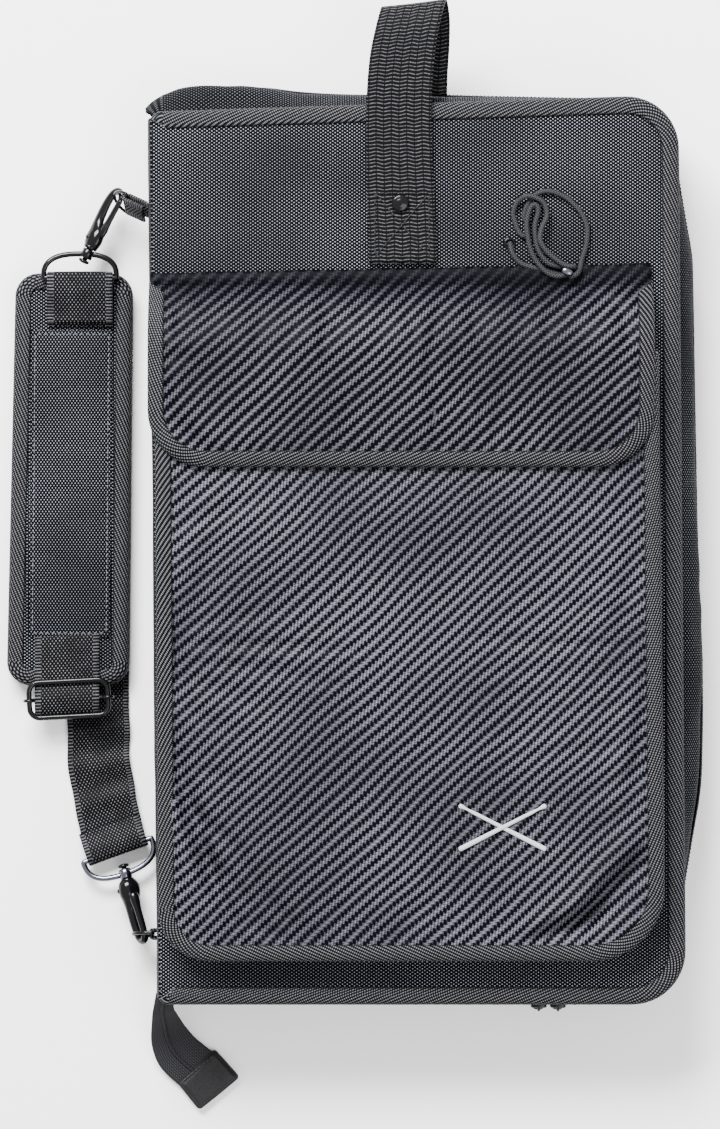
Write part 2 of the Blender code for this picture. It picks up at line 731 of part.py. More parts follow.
def make_eye(name, eye, aim, material):
    """The strap end's wire eye: a straight bar, an arch, and a bored boss for the swivel."""
    bar, along, out, boss = eye_frame(eye)
    half, depth = EYE_HALF_WIDTH, eye["boss"][1]
    arch = []
    for step in range(17):
        angle = math.pi * step / 16
        x = half * math.copysign(abs(math.cos(angle)) ** 0.8, math.cos(angle))
        arch.append(bar + along * x + out * depth * math.sin(angle) ** 0.7)
    wire = as_mesh(tube(name, arch, EYE_WIRE, material, closed=True, sides=2))
    aim = Vector(aim).normalized()
    collar = drum(f"{name}_boss", boss - aim * 2.6, boss + aim * 2.6, 3.3, material, collection=CUTTERS)
    bore = drum(f"{name}_bore", boss - aim * 6.0, boss + aim * 6.0, 1.75, material, collection=CUTTERS)
    combine(wire, collar, "UNION")
    combine(wire, bore, "DIFFERENCE")


def hook_axes(aim, roll):
    """Directions along the hook, across its mouth and through it."""
    forward = Vector(aim).normalized()
    level = forward.cross(Vector((0.0, 0.0, 1.0))).normalized()
    across = Matrix.Rotation(math.radians(roll), 3, forward) @ level
    if across.z < 0:
        across = Matrix.Rotation(math.radians(-roll), 3, forward) @ level
    return forward, across, forward.cross(across)


def make_hook(name, boss, aim, roll):
    """A swivel snap hook: stem and head through the eye's boss, a curved body, and a sprung gate."""
    forward, across, _ = hook_axes(aim, roll)
    swivel = pivot(f"{name}_hook_swivel", boss)
    stations = (
        (3.1, 0.0, 2.6),
        (6.0, 0.0, 4.1),
        (11.0, -0.3, 4.2),
        (15.0, -2.0, 3.1),
        (19.0, -3.2, 2.4),
        (26.0, -3.7, 2.2),
        (33.0, -3.5, 2.0),
        (36.8, -2.0, 1.9),
        (38.1, 0.8, 1.9),
        (36.8, 3.4, 1.8),
        (34.4, 4.2, 1.6),
    )
    path = [boss + forward * u + across * v for u, v, _ in stations]
    body = tube(f"{name}_hook_body", path, 1.0, "black_metal", None, radii=[r for *_, r in stations])
    body = as_mesh(body)
    stem = drum(f"{name}_stem", boss - forward * 4.6, boss + forward * 4.0, 1.4, "black_metal", collection=CUTTERS)
    head = drum(f"{name}_head", boss - forward * 5.2, boss - forward * 3.6, 3.0, "black_metal", collection=CUTTERS)
    combine(body, stem, "UNION")
    combine(body, head, "UNION")
    attach(body, swivel)
    start, end = (boss + forward * u + across * v for u, v in ((18.0, 3.5), (33.2, 4.3)))
    gate_hinge = pivot(f"{name}_gate_hinge", start, swivel)
    drum(f"{name}_hook_gate", start, end, 1.35, "black_metal", gate_hinge, sides=12)


def make_ring(name, boss, aim, roll, ring):
    """A wire D ring through the hook, and the folded webbing tab that holds its bar to the spine."""
    forward, across, _ = hook_axes(aim, roll)
    crossing = boss + forward * HOOK_CROSSING + across * 0.7
    out, span = Vector(ring["out"]).normalized(), Vector(ring["span"])
    span = (span - out * span.dot(out)).normalized()
    bar = crossing + out * ring["reach"][0] + span * ring["reach"][1]
    loop = [bar + span * RING_BAR / 2 * math.cos(a) - out * RING_DEPTH * math.sin(a) ** 0.8
            for a in np.linspace(0.0, math.pi, 17)]
    hinge = pivot(f"{name}_ring_pivot", bar)
    tube(f"{name}_ring", loop, RING_WIRE, "black_metal", hinge, closed=True)
    radius = RING_WIRE + GAP + WEBBING_THICKNESS / 2 + 0.05
    side = span.cross(out)
    arc = [(radius * math.sin(a), -radius * math.cos(a)) for a in np.linspace(0.0, math.pi, 7)]
    at = along_path([(a, b, 0.0) for a, b in ((-ring["leg"], -radius), *arc, (-ring["leg"], radius))])

    def place(u, v):
        offset = at(u)
        return bar - out * offset.x + side * offset.y + span * RING_TAB_WIDTH * (v - 0.5)

    sheet(f"{name}_ring_tab", 12, 1, place, WEBBING_THICKNESS, "webbing")


def make_strap():
    make_pad()
    strap_tab("upper_pad_tab", UPPER_EYE["bar"], UPPER_EYE["along"], UPPER_EYE["out"], 36.0, 26.0)
    lower_pad_tab()
    adjusting_webbing()
    make_adjuster()
    for name, eye, aim, roll, ring, material in (
        ("upper", UPPER_EYE, UPPER_HOOK_AIM, UPPER_HOOK_ROLL, UPPER_RING, "black_metal"),
        ("lower", LOWER_EYE, LOWER_HOOK_AIM, LOWER_HOOK_ROLL, LOWER_RING, "grey_metal"),
    ):
        boss = eye_frame(eye)[3]
        make_eye(f"{name}_eye", eye, aim, material)
        make_hook(name, boss, aim, roll)
        make_ring(name, boss, aim, roll, ring)


def build():
    front = pivot("front_cover_hinge", (*spine_line(HINGE_OFFSET, 0.5), HINGE_HEIGHT))
    make_cover("back", 0.0, BACK_TOP, (0.5, BACK_TOP + 0.1), None)
    make_spine()
    make_walls("rear", REAR_WALL, REAR_CHAIN, None)
    make_cover("front", *FRONT_PANEL, (54.2, COVER_TOP + BINDING_PROUD), front)
    make_walls("front", FRONT_WALL, FRONT_CHAIN, front)
    make_inside(front)
    make_pocket(front)
    make_flap(front)
    make_handle(front)
    make_cord(front)
    make_zipper_sliders()
    make_zipper_tail()
    make_strap()


clear_scene()
BAG = make_collection("drum_stick_bag")
CUTTERS = make_collection("cutters", hidden=True)
MATERIAL = {name: make_material(name) for name in MATERIALS}
build()
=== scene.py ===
"""Looks for the drum stick bag: fabrics, tapes, webbing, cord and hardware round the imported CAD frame.

+Z is up, +Y is towards the carrying handle and +X away from the spine. Sizes here are millimetres
and are turned to metres where a mesh is made.
"""

import json
import math

import bmesh
import bpy
import numpy as np
from mathutils import Matrix, Vector

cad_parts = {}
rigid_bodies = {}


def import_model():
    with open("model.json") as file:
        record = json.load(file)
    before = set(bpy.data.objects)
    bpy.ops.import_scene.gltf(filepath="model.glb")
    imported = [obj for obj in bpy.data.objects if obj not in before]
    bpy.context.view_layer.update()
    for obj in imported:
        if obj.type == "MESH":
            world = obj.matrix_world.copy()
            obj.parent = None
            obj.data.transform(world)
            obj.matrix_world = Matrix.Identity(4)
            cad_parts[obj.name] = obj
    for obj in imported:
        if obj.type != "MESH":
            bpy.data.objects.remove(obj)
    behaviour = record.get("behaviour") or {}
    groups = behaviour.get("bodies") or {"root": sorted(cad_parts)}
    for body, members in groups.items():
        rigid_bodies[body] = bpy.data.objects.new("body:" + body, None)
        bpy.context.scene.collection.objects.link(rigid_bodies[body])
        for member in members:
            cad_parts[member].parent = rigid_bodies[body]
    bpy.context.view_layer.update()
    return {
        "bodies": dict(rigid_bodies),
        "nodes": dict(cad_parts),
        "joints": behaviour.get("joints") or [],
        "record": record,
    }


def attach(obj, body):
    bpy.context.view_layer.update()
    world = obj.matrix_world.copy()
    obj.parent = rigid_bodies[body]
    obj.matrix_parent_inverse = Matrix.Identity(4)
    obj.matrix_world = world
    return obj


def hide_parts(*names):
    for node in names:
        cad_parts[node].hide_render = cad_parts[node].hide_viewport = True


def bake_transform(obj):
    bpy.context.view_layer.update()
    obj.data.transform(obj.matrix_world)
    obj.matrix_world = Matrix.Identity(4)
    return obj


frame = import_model()

MM = 0.001
TAU = math.tau
WELD, SLIVER = 0.002, 0.001  # points nearer than this are joined, and edges shorter than this are dropped


# Numbers and waves


def fade(value, low, high):
    share = np.clip((value - low) / (high - low), 0, 1)
    return share * share * (3 - 2 * share)


def hump(value, centre, width):
    return np.exp(-(((value - centre) / width) ** 2))


def ripple(x, y, size, seed):
    """Smooth random waves from -1 to 1, about size apart."""
    u, v = x / size, y / size
    i, j = np.floor(u), np.floor(v)
    f, g = fade(u - i, 0, 1), fade(v - j, 0, 1)

    def corner(a, b):
        return np.modf(np.sin((i + a) * 12.71 + (j + b) * 31.17 + seed * 7.47) * 4375.85)[0]

    low = corner(0, 0) * (1 - f) + corner(1, 0) * f
    high = corner(0, 1) * (1 - f) + corner(1, 1) * f
    return low * (1 - g) + high * g


def unit(vectors):
    """The vector, or each row of them, at length 1."""
    vectors = np.asarray(vectors, float)
    return vectors / np.linalg.norm(vectors, axis=-1, keepdims=True)


def circle(count):
    """Angles all the way round."""
    return np.linspace(0, TAU, count, endpoint=False)


def outward_of(line):
    """The direction to the right of a line's course at each of its points."""
    course = unit(np.gradient(line, axis=0))
    return np.stack([course[:, 1], -course[:, 0]], axis=1)


def spread(points, step):
    """The same polyline with a point about every step."""
    points = np.asarray(points, float)
    lengths = lengths_along(points)
    count = max(2, int(round(lengths[-1] / step)) + 1)
    at = np.linspace(0, lengths[-1], count)
    return np.stack([np.interp(at, lengths, points[:, i]) for i in range(points.shape[1])], axis=1)


def flowing(points, steps=8):
    """A smooth curve through points."""
    points = [np.asarray(p, float) for p in points]
    padded = [2 * points[0] - points[1], *points, 2 * points[-1] - points[-2]]
    curve = []
    for a, b, c, d in zip(padded, padded[1:], padded[2:], padded[3:]):
        for t in np.arange(steps) / steps:
            bend = (2 * a - 5 * b + 4 * c - d) * t**2 + (3 * b - a - 3 * c + d) * t**3
            curve.append(0.5 * (2 * b + (c - a) * t + bend))
    return np.array([*curve, points[-1]])


def lengths_along(points, closed=False):
    ends = np.concatenate([points, points[:1]]) if closed else points
    return np.concatenate([[0], np.cumsum(np.linalg.norm(np.diff(ends, axis=0), axis=1))])


# Meshes with their own cloth map


def linked(name, data):
    obj = bpy.data.objects.new(name, data)
    bpy.context.scene.collection.objects.link(obj)
    return obj


class Piece:
    """Collects grids of points, each with its place on the cloth in millimetres, into one mesh."""

    def __init__(self):
        self.points, self.faces, self.maps, self.count = [], [], [], 0

    def grid(self, points, places, wrap_u=False, wrap_v=False, flip=False):
        """points is (nu, nv, 3); places is (nu or nu+1, nv or nv+1, 2), one more where it wraps."""
        nu, nv = points.shape[:2]
        i, j = np.meshgrid(np.arange(nu - (not wrap_u)), np.arange(nv - (not wrap_v)), indexing="ij")
        i, j = i.ravel(), j.ravel()
        corners = [(i, j), (i + 1, j), (i + 1, j + 1), (i, j + 1)]
        if flip:
            corners.reverse()
        self.faces.append(np.stack([(a % nu) * nv + b % nv + self.count for a, b in corners], axis=1))
        self.maps.append(np.stack([places[a, b] for a, b in corners], axis=1))
        self.points.append(points.reshape(-1, 3))
        self.count += nu * nv

    def shell(self, points, places, thickness):
        """A sheet of cloth with its thickness to both sides of points, closed round its edges."""
        side = normals_of(points) * thickness / 2
        top, under = points + side, points - side
        self.grid(top, places)
        self.grid(under, places, flip=True)
        for edge, flip in ((0, True), (-1, False)):
            rim = np.stack([top[:, edge], under[:, edge]], axis=1)
            self.grid(rim, np.stack([places[:, edge]] * 2, axis=1), flip=flip)
            rim = np.stack([top[edge], under[edge]], axis=1)
            self.grid(rim, np.stack([places[edge]] * 2, axis=1), flip=not flip)
        return self

    def make(self, name, finish, body=None, *nodes):
        """The mesh as an object that rides on body and is shown in place of the CAD nodes."""
        mesh = bpy.data.meshes.new(name)
        points, faces = np.concatenate(self.points), np.concatenate(self.faces)
        mesh.from_pydata((points * MM).tolist(), [], faces.tolist())
        layer = mesh.uv_layers.new(name="UVMap")
        layer.data.foreach_set("uv", (np.concatenate(self.maps).reshape(-1) * MM).astype(np.float32))
        joined = bmesh.new()
        joined.from_mesh(mesh)
        bmesh.ops.remove_doubles(joined, verts=joined.verts, dist=WELD * MM)
        bmesh.ops.dissolve_degenerate(joined, edges=joined.edges, dist=SLIVER * MM)
        bmesh.ops.recalc_face_normals(joined, faces=joined.faces)
        joined.to_mesh(mesh)
        joined.free()
        mesh.polygons.foreach_set("use_smooth", [True] * len(mesh.polygons))
        mesh.materials.append(finish.material)
        obj = linked(name, mesh)
        if body:
            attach(obj, body)
        if nodes:
            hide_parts(*nodes)
        return obj


def normals_of(points):
    normal = np.cross(np.gradient(points, axis=0), np.gradient(points, axis=1))
    return normal / np.maximum(np.linalg.norm(normal, axis=2, keepdims=True), 1e-9)


def strip_map(us, vs):
    u, v = np.meshgrid(us, vs, indexing="ij")
    return np.stack([u, v], axis=2)


def frames_along(path, closed=False, up=None):
    """Two directions square to the path at each point, turning as little as they can."""
    path = np.asarray(path, float)
    if closed:
        forward = np.roll(path, -1, axis=0) - np.roll(path, 1, axis=0)
    else:
        forward = np.gradient(path, axis=0)
    forward = unit(forward)
    first = np.asarray(up if up is not None else (0, 0, 1), float)
    if abs(first @ forward[0]) > 0.95:
        first = np.array((1, 0, 0))
    firsts = []
    for direction in forward:
        first = unit(first - direction * (first @ direction))
        firsts.append(first)
    firsts = np.array(firsts)
    seconds = np.cross(forward, firsts)
    if closed:
        closing = firsts[-1] - forward[0] * (firsts[-1] @ forward[0])
        angle = math.atan2(closing @ seconds[0], closing @ firsts[0])
        turn = -angle * np.linspace(0, 1, len(path))[:, None]
        firsts, seconds = (firsts * np.cos(turn) + seconds * np.sin(turn),
                           seconds * np.cos(turn) - firsts * np.sin(turn))
    return firsts, seconds


def add_fan(piece, ring, middle, flip):
    """Closes the end of a tube or tape with triangles to its middle."""
    fan = np.stack([ring, np.repeat(middle[None], len(ring), axis=0)], axis=1)
    piece.grid(fan, np.zeros((len(ring) + 1, 2, 2)), wrap_u=True, flip=flip)


def add_tube(piece, path, radius, sides=14, closed=False, flatten=1, up=None, cap=True):
    """A round or flattened bar along path. radius is one number or one for each point."""
    path = np.asarray(path, float)
    radii = np.broadcast_to(np.asarray(radius, float), len(path))
    if not closed and cap:
        first, last = unit(path[0] - path[1]), unit(path[-1] - path[-2])
        rounds = np.sin(np.linspace(0.08, 1, 5) * math.pi / 2)
        reach = np.cos(np.linspace(0.08, 1, 5) * math.pi / 2)
        start = [path[0] + first * radii[0] * c * 0.7 for c in reach]
        end = [path[-1] + last * radii[-1] * c * 0.7 for c in reach[::-1]]
        path = np.concatenate([start, path[1:-1], end])
        radii = np.concatenate([radii[0] * rounds, radii[1:-1], radii[-1] * rounds[::-1]])
    firsts, seconds = frames_along(path, closed, up)
    angles = circle(sides)
    ring = (firsts[:, None] * np.cos(angles)[None, :, None] * flatten
            + seconds[:, None] * np.sin(angles)[None, :, None])
    points = path[:, None] + ring * radii[:, None, None]
    vs = np.linspace(0, TAU * float(np.median(radii)), sides + 1)
    piece.grid(points, strip_map(lengths_along(path, closed), vs), wrap_u=closed, wrap_v=True, flip=True)
    if not closed:
        for end, flip in ((0, True), (-1, False)):
            add_fan(piece, points[end], path[end], flip)


def tube(name, path, radius, finish, body, *nodes, **shape):
    piece = Piece()
    add_tube(piece, path, radius, **shape)
    return piece.make(name, finish, body, *nodes)


def band(path, across, width, thickness, columns=13, crown=0):
    """A flat band along path; across gives the direction of its width, for all of it or at each point."""
    path = np.asarray(path, float)
    across = unit(np.broadcast_to(np.asarray(across, float), path.shape))
    widths = np.broadcast_to(np.asarray(width, float), len(path))
    shares = np.linspace(-0.5, 0.5, columns)
    points = path[:, None] + across[:, None] * shares[None, :, None] * widths[:, None, None]
    if crown:
        points = points + normals_of(points) * crown * (1 - (2 * shares) ** 2)[None, :, None]
    return Piece().shell(points, strip_map(lengths_along(path), shares * float(widths.mean())), thickness)


# Outlines


def inset_corners(corners, inset):
    corners = [np.array(c, float) for c in corners]
    sides = []
    for start, end in zip(corners, corners[1:] + corners[:1]):
        direction = unit(end - start)
        sides.append((start + np.array((-direction[1], direction[0])) * inset, direction))
    moved = []
    for (a, along), (b, across) in zip(sides[-1:] + sides[:-1], sides):
        turn = along[0] * across[1] - along[1] * across[0]
        gap = b - a
        moved.append(a + along * (gap[0] * across[1] - gap[1] * across[0]) / turn)
    return moved


def outline(corners, radii, inset=0, step=4, arc=12):
    """Points round a polygon with rounded corners, moved in by inset: always as many, anticlockwise."""
    plain = [np.array(c, float) for c in corners]
    moved = inset_corners(corners, inset)
    arcs = []
    for index, corner in enumerate(moved):
        incoming = unit(corner - moved[index - 1])
        outgoing = unit(moved[(index + 1) % len(moved)] - corner)
        turn = math.atan2(incoming[0] * outgoing[1] - incoming[1] * outgoing[0], incoming @ outgoing)
        radius = max(radii[index] - inset, 0.4)
        inward = np.array((-incoming[1], incoming[0]))
        centre = corner - incoming * radius * math.tan(turn / 2) + inward * radius
        angles = np.linspace(0, turn, arc + 1)
        back = -inward * radius
        arcs.append(np.stack([centre[0] + back[0] * np.cos(angles) - back[1] * np.sin(angles),
                              centre[1] + back[0] * np.sin(angles) + back[1] * np.cos(angles)], axis=1))
    points = []
    for index, found in enumerate(arcs):
        following = arcs[(index + 1) % len(arcs)]
        side = np.linalg.norm(plain[(index + 1) % len(plain)] - plain[index])
        count = max(2, int(side / step))
        between = np.linspace(0, 1, count + 1)[1:-1, None]
        points.append(found)
        points.append(found[-1] * (1 - between) + following[0] * between)
    return np.concatenate(points)


def open_outline(corners, radii, inset, kept, step=3):
    """The part of an outline that kept(x, y) picks out, moved in by inset, anticlockwise."""
    plain, moved = outline(corners, radii, 0, step), outline(corners, radii, inset, step)
    keep = kept(plain[:, 0], plain[:, 1])
    start = next(i for i in range(len(keep)) if keep[i] and not keep[i - 1])
    return np.roll(moved, -start, axis=0)[np.roll(keep, -start)]


def edge_distance(x, y, edge):
    """How far inside a closed outline each point is."""
    starts, ends = edge, np.roll(edge, -1, axis=0)
    side = ends - starts
    best = np.full(x.shape, 1e9)
    for (ax, ay), (sx, sy) in zip(starts, side):
        size = max(sx * sx + sy * sy, 1e-9)
        share = np.clip(((x - ax) * sx + (y - ay) * sy) / size, 0, 1)
        best = np.minimum(best, np.hypot(x - ax - share * sx, y - ay - share * sy))
    return best


def slab(edge, centre, top, under, rings=46, sides=4, bulge=0):
    """A closed pad. top and under are heights, or give them from x, y and the distance to the edge."""
    shares = 1 - np.linspace(0, 1, rings) ** 1.5  # the rings lie closer together near the edge
    plan = np.asarray(centre) + (edge - np.asarray(centre))[:, None] * shares[None, :, None]
    x, y = plan[..., 0], plan[..., 1]
    inside = edge_distance(x, y, edge)
    piece = Piece()
    surfaces = []
    for height, flip in ((top, False), (under, True)):
        z = height(x, y, inside) if callable(height) else np.full_like(x, height)
        piece.grid(np.dstack([plan, z]), np.concatenate([plan, plan[:1]]), wrap_u=True, flip=flip)
        surfaces.append(np.dstack([plan, z]))
    upper, lower = surfaces
    shares = np.linspace(0, 1, sides + 1)
    wall = upper[:, :1] * (1 - shares)[None, :, None] + lower[:, :1] * shares[None, :, None]
    outward = unit(edge - np.asarray(centre))
    wall[..., :2] += outward[:, None] * (bulge * np.sin(math.pi * shares))[None, :, None]
    height = float(np.mean(upper[:, 0, 2] - lower[:, 0, 2]))
    piece.grid(wall, strip_map(lengths_along(edge, closed=True), shares * height), wrap_u=True, flip=True)
    return piece


def rolled(level, depth, width):
    """A height for slab: level, and depth higher at the edge, within about width of it."""
    return lambda x, y, inside: level + depth * hump(inside, 0, width)


def rippled(level, depth, size, seed):
    """A height for slab: level, and a ripple."""
    return lambda x, y, inside: level + depth * ripple(x, y, size, seed)


def closed_run(points, over, piece):
    """A tape with a closed section along a line, capped at both ends."""
    piece.grid(points, strip_map(lengths_along(points[:, 0]), over), wrap_v=True)
    for end, flip in ((0, True), (-1, False)):
        add_fan(piece, points[end], points[end].mean(axis=0), flip)


def edging(corners, radii, profile, kept=None):
    """A tape round an outline, or round the part that kept picks out. profile lists (inset, height)."""
    section = np.array(profile, float)
    over = lengths_along(section, closed=True)
    rings = [open_outline(corners, radii, inset, kept) if kept else outline(corners, radii, inset, step=3)
             for inset, _ in section]
    points = np.stack([np.column_stack([ring, np.full(len(ring), z)])
                       for ring, (_, z) in zip(rings, section)], axis=1)
    piece = Piece()
    if kept:
        closed_run(points, over, piece)
    else:
        piece.grid(points, strip_map(lengths_along(rings[0], closed=True), over), wrap_u=True, wrap_v=True)
    return piece


def clear_of_spine(x, y):
    return x - spine_x(y) > 0.6


# Finishes


class Wire:
    """A material's number that can be reckoned with."""

    def __init__(self, graph, socket):
        self.graph, self.socket = graph, socket

    def __add__(self, other):
        return self.graph.maths("ADD", self, other)

    def __sub__(self, other):
        return self.graph.maths("SUBTRACT", self, other)

    def __mul__(self, other):
        return self.graph.maths("MULTIPLY", self, other)

    __radd__, __rmul__ = __add__, __mul__

    def __rsub__(self, other):
        return self.graph.maths("SUBTRACT", other, self)


class Finish:
    """One material and its slot, worked out from the piece's place on its cloth, u and v in millimetres."""

    def __init__(self, name, slot, roughness, specular=0.5, metallic=0):
        self.slot = slot
        self.material = bpy.data.materials.new(name)
        self.material.use_nodes = True
        self.tree = self.material.node_tree
        self.shader = self.tree.nodes["Principled BSDF"].inputs
        self.shader["Roughness"].default_value = roughness
        self.shader["Metallic"].default_value = metallic
        self.shader["Specular IOR Level"].default_value = specular
        self.place = Wire(self, self.node("UVMap", uv_map="UVMap").outputs[0])
        split = self.node("SeparateXYZ", self.place)
        self.u = Wire(self, split.outputs[0]) * 1000
        self.v = Wire(self, split.outputs[1]) * 1000

    def put(self, socket, value):
        if isinstance(value, Wire):
            self.tree.links.new(value.socket, socket)
        else:
            socket.default_value = value

    def node(self, kind, *values, **settings):
        """A new node with its settings and the values of its first sockets."""
        node = self.tree.nodes.new("ShaderNode" + kind)
        for setting, value in settings.items():
            setattr(node, setting, value)
        for socket, value in zip(node.inputs, values):
            self.put(socket, value)
        return node

    def maths(self, operation, *values):
        return Wire(self, self.node("Math", *values, operation=operation).outputs[0])

    def wave(self, length, pitch, phase=0):
        return self.maths("COSINE", length * (TAU / pitch) + phase)

    def ramp(self, value, low, high, start=0, end=1):
        node = self.node("MapRange", value, low, high, start, end, interpolation_type="SMOOTHSTEP")
        return Wire(self, node.outputs[0])

    def cloud(self, size, detail=2):
        """Soft random patches about size across, from 0 to 1."""
        node = self.node("TexNoise", self.place)
        node.inputs["Scale"].default_value = 1 / (size * MM)
        node.inputs["Detail"].default_value = detail
        return Wire(self, node.outputs[0])

    def colour(self, share, dark, light):
        node = self.node("Mix", share, data_type="RGBA")
        node.inputs[6].default_value = (*dark, 1)
        node.inputs[7].default_value = (*light, 1)
        self.tree.links.new(node.outputs[2], self.shader["Base Color"])
        return self

    def plain(self, colour):
        self.shader["Base Color"].default_value = (*colour, 1)
        return self

    def relief(self, height, depth, strength=0.6):
        node = self.node("Bump")
        node.inputs["Strength"].default_value = strength
        node.inputs["Distance"].default_value = depth * MM
        self.put(node.inputs["Height"], height)
        self.tree.links.new(node.outputs["Normal"], self.shader["Normal"])
        return self

    def rough(self, value):
        self.put(self.shader["Roughness"], value)
        return self


def basket_weave(name="basket weave cloth", light=(0.335, 0.35, 0.415), pitch=(2.58, 1.82)):
    """Small oval knots in staggered rows, pale blue-grey on near black."""
    f = Finish(name, "basket_weave", 0.6, 0.02)
    knots = f.ramp(f.wave(f.u, pitch[0]) * f.wave(f.v, pitch[1]) + (f.cloud(1.3) - 0.5) * 0.3, 0.44, 1)
    # painted sheen: broad soft patches that make the cloth lighter in some places and darker in others
    sheen_and_tone_patches = f.ramp(f.cloud(95), 0.3, 0.72, 0.45, 1)
    return f.colour(knots * sheen_and_tone_patches, (0.001, 0.001, 0.0012), light).relief(knots, 0.18, 0.5)


TWILL_SLOPE, TWILL_ROW, TWILL_BEAT = 43, 4.9, 2.42


def ribbed_twill(name="ribbed twill cloth", light=(0.132, 0.132, 0.16), cover=-0.4, root=1e6):
    """Broad grey-violet ribs that climb to the right, parted by rows of slanting dark holes.

    cover is how little of the cloth the holes take up, and root the height above which it lies in shade.
    """
    f = Finish(name, "ribbed_twill", 0.5, 0.02)
    slope = math.radians(TWILL_SLOPE)
    sway = (f.cloud(75, 1) - 0.5) * 6
    along = f.u * math.cos(slope) + f.v * math.sin(slope)
    over = f.v * math.cos(slope) - f.u * math.sin(slope) + sway
    rows = f.wave(over, TWILL_ROW)
    beat = f.wave(along - over * 0.35, TWILL_BEAT)
    holes = f.ramp(rows + beat * 0.75 + (f.cloud(1.4) - 0.5) * 0.7, cover, cover + 0.85)
    knots = f.wave(over, 1.64) * f.wave(along + over * 0.3, TWILL_BEAT, 1.2)
    grain = f.ramp(knots + (f.cloud(0.9) - 0.5) * 1.2, -0.5, 1, 0.35, 1.35)
    # painted sheen: broad soft patches that make the ribs lighter in some places and darker in others
    sheen_and_tone_patches = f.ramp(f.cloud(80, 1), 0.3, 0.72, 0.62, 1.12)
    shaded = f.ramp(f.v + f.wave(f.u, 90) * 3, root - 20, root + 6, 1, 0.12)
    # painted highlights: small bright glints on the ribs, in step with the rows of holes
    painted_glints = f.ramp(beat * 0.7 - rows, 0.9, 1.55)
    shade = ((1 - holes) * grain * 0.55 + painted_glints * 0.5) * sheen_and_tone_patches * shaded
    return f.colour(shade, (0.001, 0.001, 0.002), light).relief(shade, 0.3, 0.5)


def twill_tape(name="twill tape", lean=1):
    """Fine dotted lines that run aslant along the tape, darker towards its two edges."""
    f = Finish(name, "edge_tape", 0.65, 0.03)
    lines = f.wave(f.u * 0.42 + f.v * (0.91 * lean), 1.61)
    dots = f.wave(f.u * 0.91 - f.v * (0.42 * lean), 1.15)
    knots = f.ramp(lines * 0.8 + dots * 0.6 + (f.cloud(1) - 0.5) * 1.1, 0, 1.35)
    seam = f.ramp(f.maths("ABSOLUTE", f.v - 0.9), 0.2, 0.7, 0.35, 1)
    return f.colour(knots * seam, (0.0015, 0.0015, 0.002), (0.115, 0.115, 0.124)).relief(knots, 0.12, 0.5)


def ribbed_webbing():
    """Columns of short bright bars across the band, like a ladder, parted by thin dark lines."""
    f = Finish("ribbed webbing", "webbing", 0.6, 0.04)
    column, row = 4.1, 1.98
    step = f.wave(f.v, 2 * column) * 0.3 + (f.cloud(6) - 0.5) * 1.3
    bars = f.ramp(f.wave(f.u + step, row), 0.3, 1)
    gaps = f.ramp(f.maths("ABSOLUTE", f.maths("SINE", f.v * (math.pi / column))), 0.05, 0.4)
    grain = f.ramp(f.cloud(1.1), 0.3, 0.75, 0.35, 1)
    ladder = bars * gaps
    return f.colour(ladder * grain, (0.001, 0.001, 0.0012), (0.08, 0.08, 0.087)).relief(ladder, 0.3)


def strap_weave(name="strap webbing", half=17):
    """Small staggered knots, with a ladder of short bars along each edge of the band."""
    f = Finish(name, "webbing", 0.6, 0.04)
    grain = f.ramp(f.cloud(1.1), 0.3, 0.75, 0.4, 1)
    sheen_and_tone_patches = f.ramp(f.cloud(14), 0.35, 0.7, 0.55, 1)
    knots = f.ramp(f.wave(f.u, 2.7) * f.wave(f.v, 2), 0.3, 1)
    bars = f.ramp(f.wave(f.u, 1.75), -0.2, 0.8)
    edge = f.ramp(f.maths("ABSOLUTE", f.v), half - 3.2, half - 2.6)
    pattern = knots * (1 - edge) + bars * edge * 0.55
    shade = pattern * grain * sheen_and_tone_patches
    return f.colour(shade, (0.001, 0.001, 0.0013), (0.22, 0.22, 0.236)).relief(pattern, 0.25)


def plain_lining():
    f = Finish("lining cloth", "lining", 0.75, 0.06)
    knots = f.ramp(f.wave(f.u, 1.1) * f.wave(f.v, 1.1), -0.4, 0.6)
    return f.colour(knots, (0.006, 0.006, 0.007), (0.06, 0.06, 0.066)).relief(knots, 0.12, 0.5)


def zip_cloth():
    f = Finish("zipper tape", "zip_plastic", 0.6, 0.08)
    ribs = f.ramp(f.wave(f.v + f.wave(f.u, 1.4) * 0.2, 0.9), -0.5, 0.7)
    return f.colour(ribs, (0.003, 0.003, 0.0035), (0.03, 0.03, 0.034)).relief(ribs, 0.15, 0.5)


def gloss_metal():
    f = Finish("black nickel", "black_metal", 0.12, 0.22)
    worn = f.ramp(f.cloud(9), 0.35, 0.75, 0.12 * 0.8, 0.12 * 1.7)
    return f.plain((0.002, 0.002, 0.0025)).rough(worn)


def grey_metal():
    f = Finish("gunmetal", "grey_metal", 0.2, metallic=1)
    worn = f.ramp(f.cloud(8), 0.35, 0.75, 0.14, 0.3)
    return f.plain((0.13, 0.135, 0.165)).rough(worn)


def braided_elastic():
    f = Finish("braided elastic", "elastic", 0.6, 0.1)
    first = f.wave(f.u + f.v * 0.8, 1.5)
    second = f.wave(f.u - f.v * 0.8, 1.5)
    braid = f.ramp(f.maths("MAXIMUM", first, second), 0.1, 0.95)
    return f.colour(braid, (0.002, 0.002, 0.0025), (0.03, 0.031, 0.035)).relief(braid, 0.15)


def smooth_vinyl():
    f = Finish("smooth vinyl", "smooth_vinyl", 0.5, 0.2)
    grain = f.cloud(1.2, 4)
    share = f.ramp(grain, 0.3, 0.7)
    return f.colour(share, (0.003, 0.003, 0.0035), (0.009, 0.009, 0.0105)).relief(grain, 0.1, 0.35)


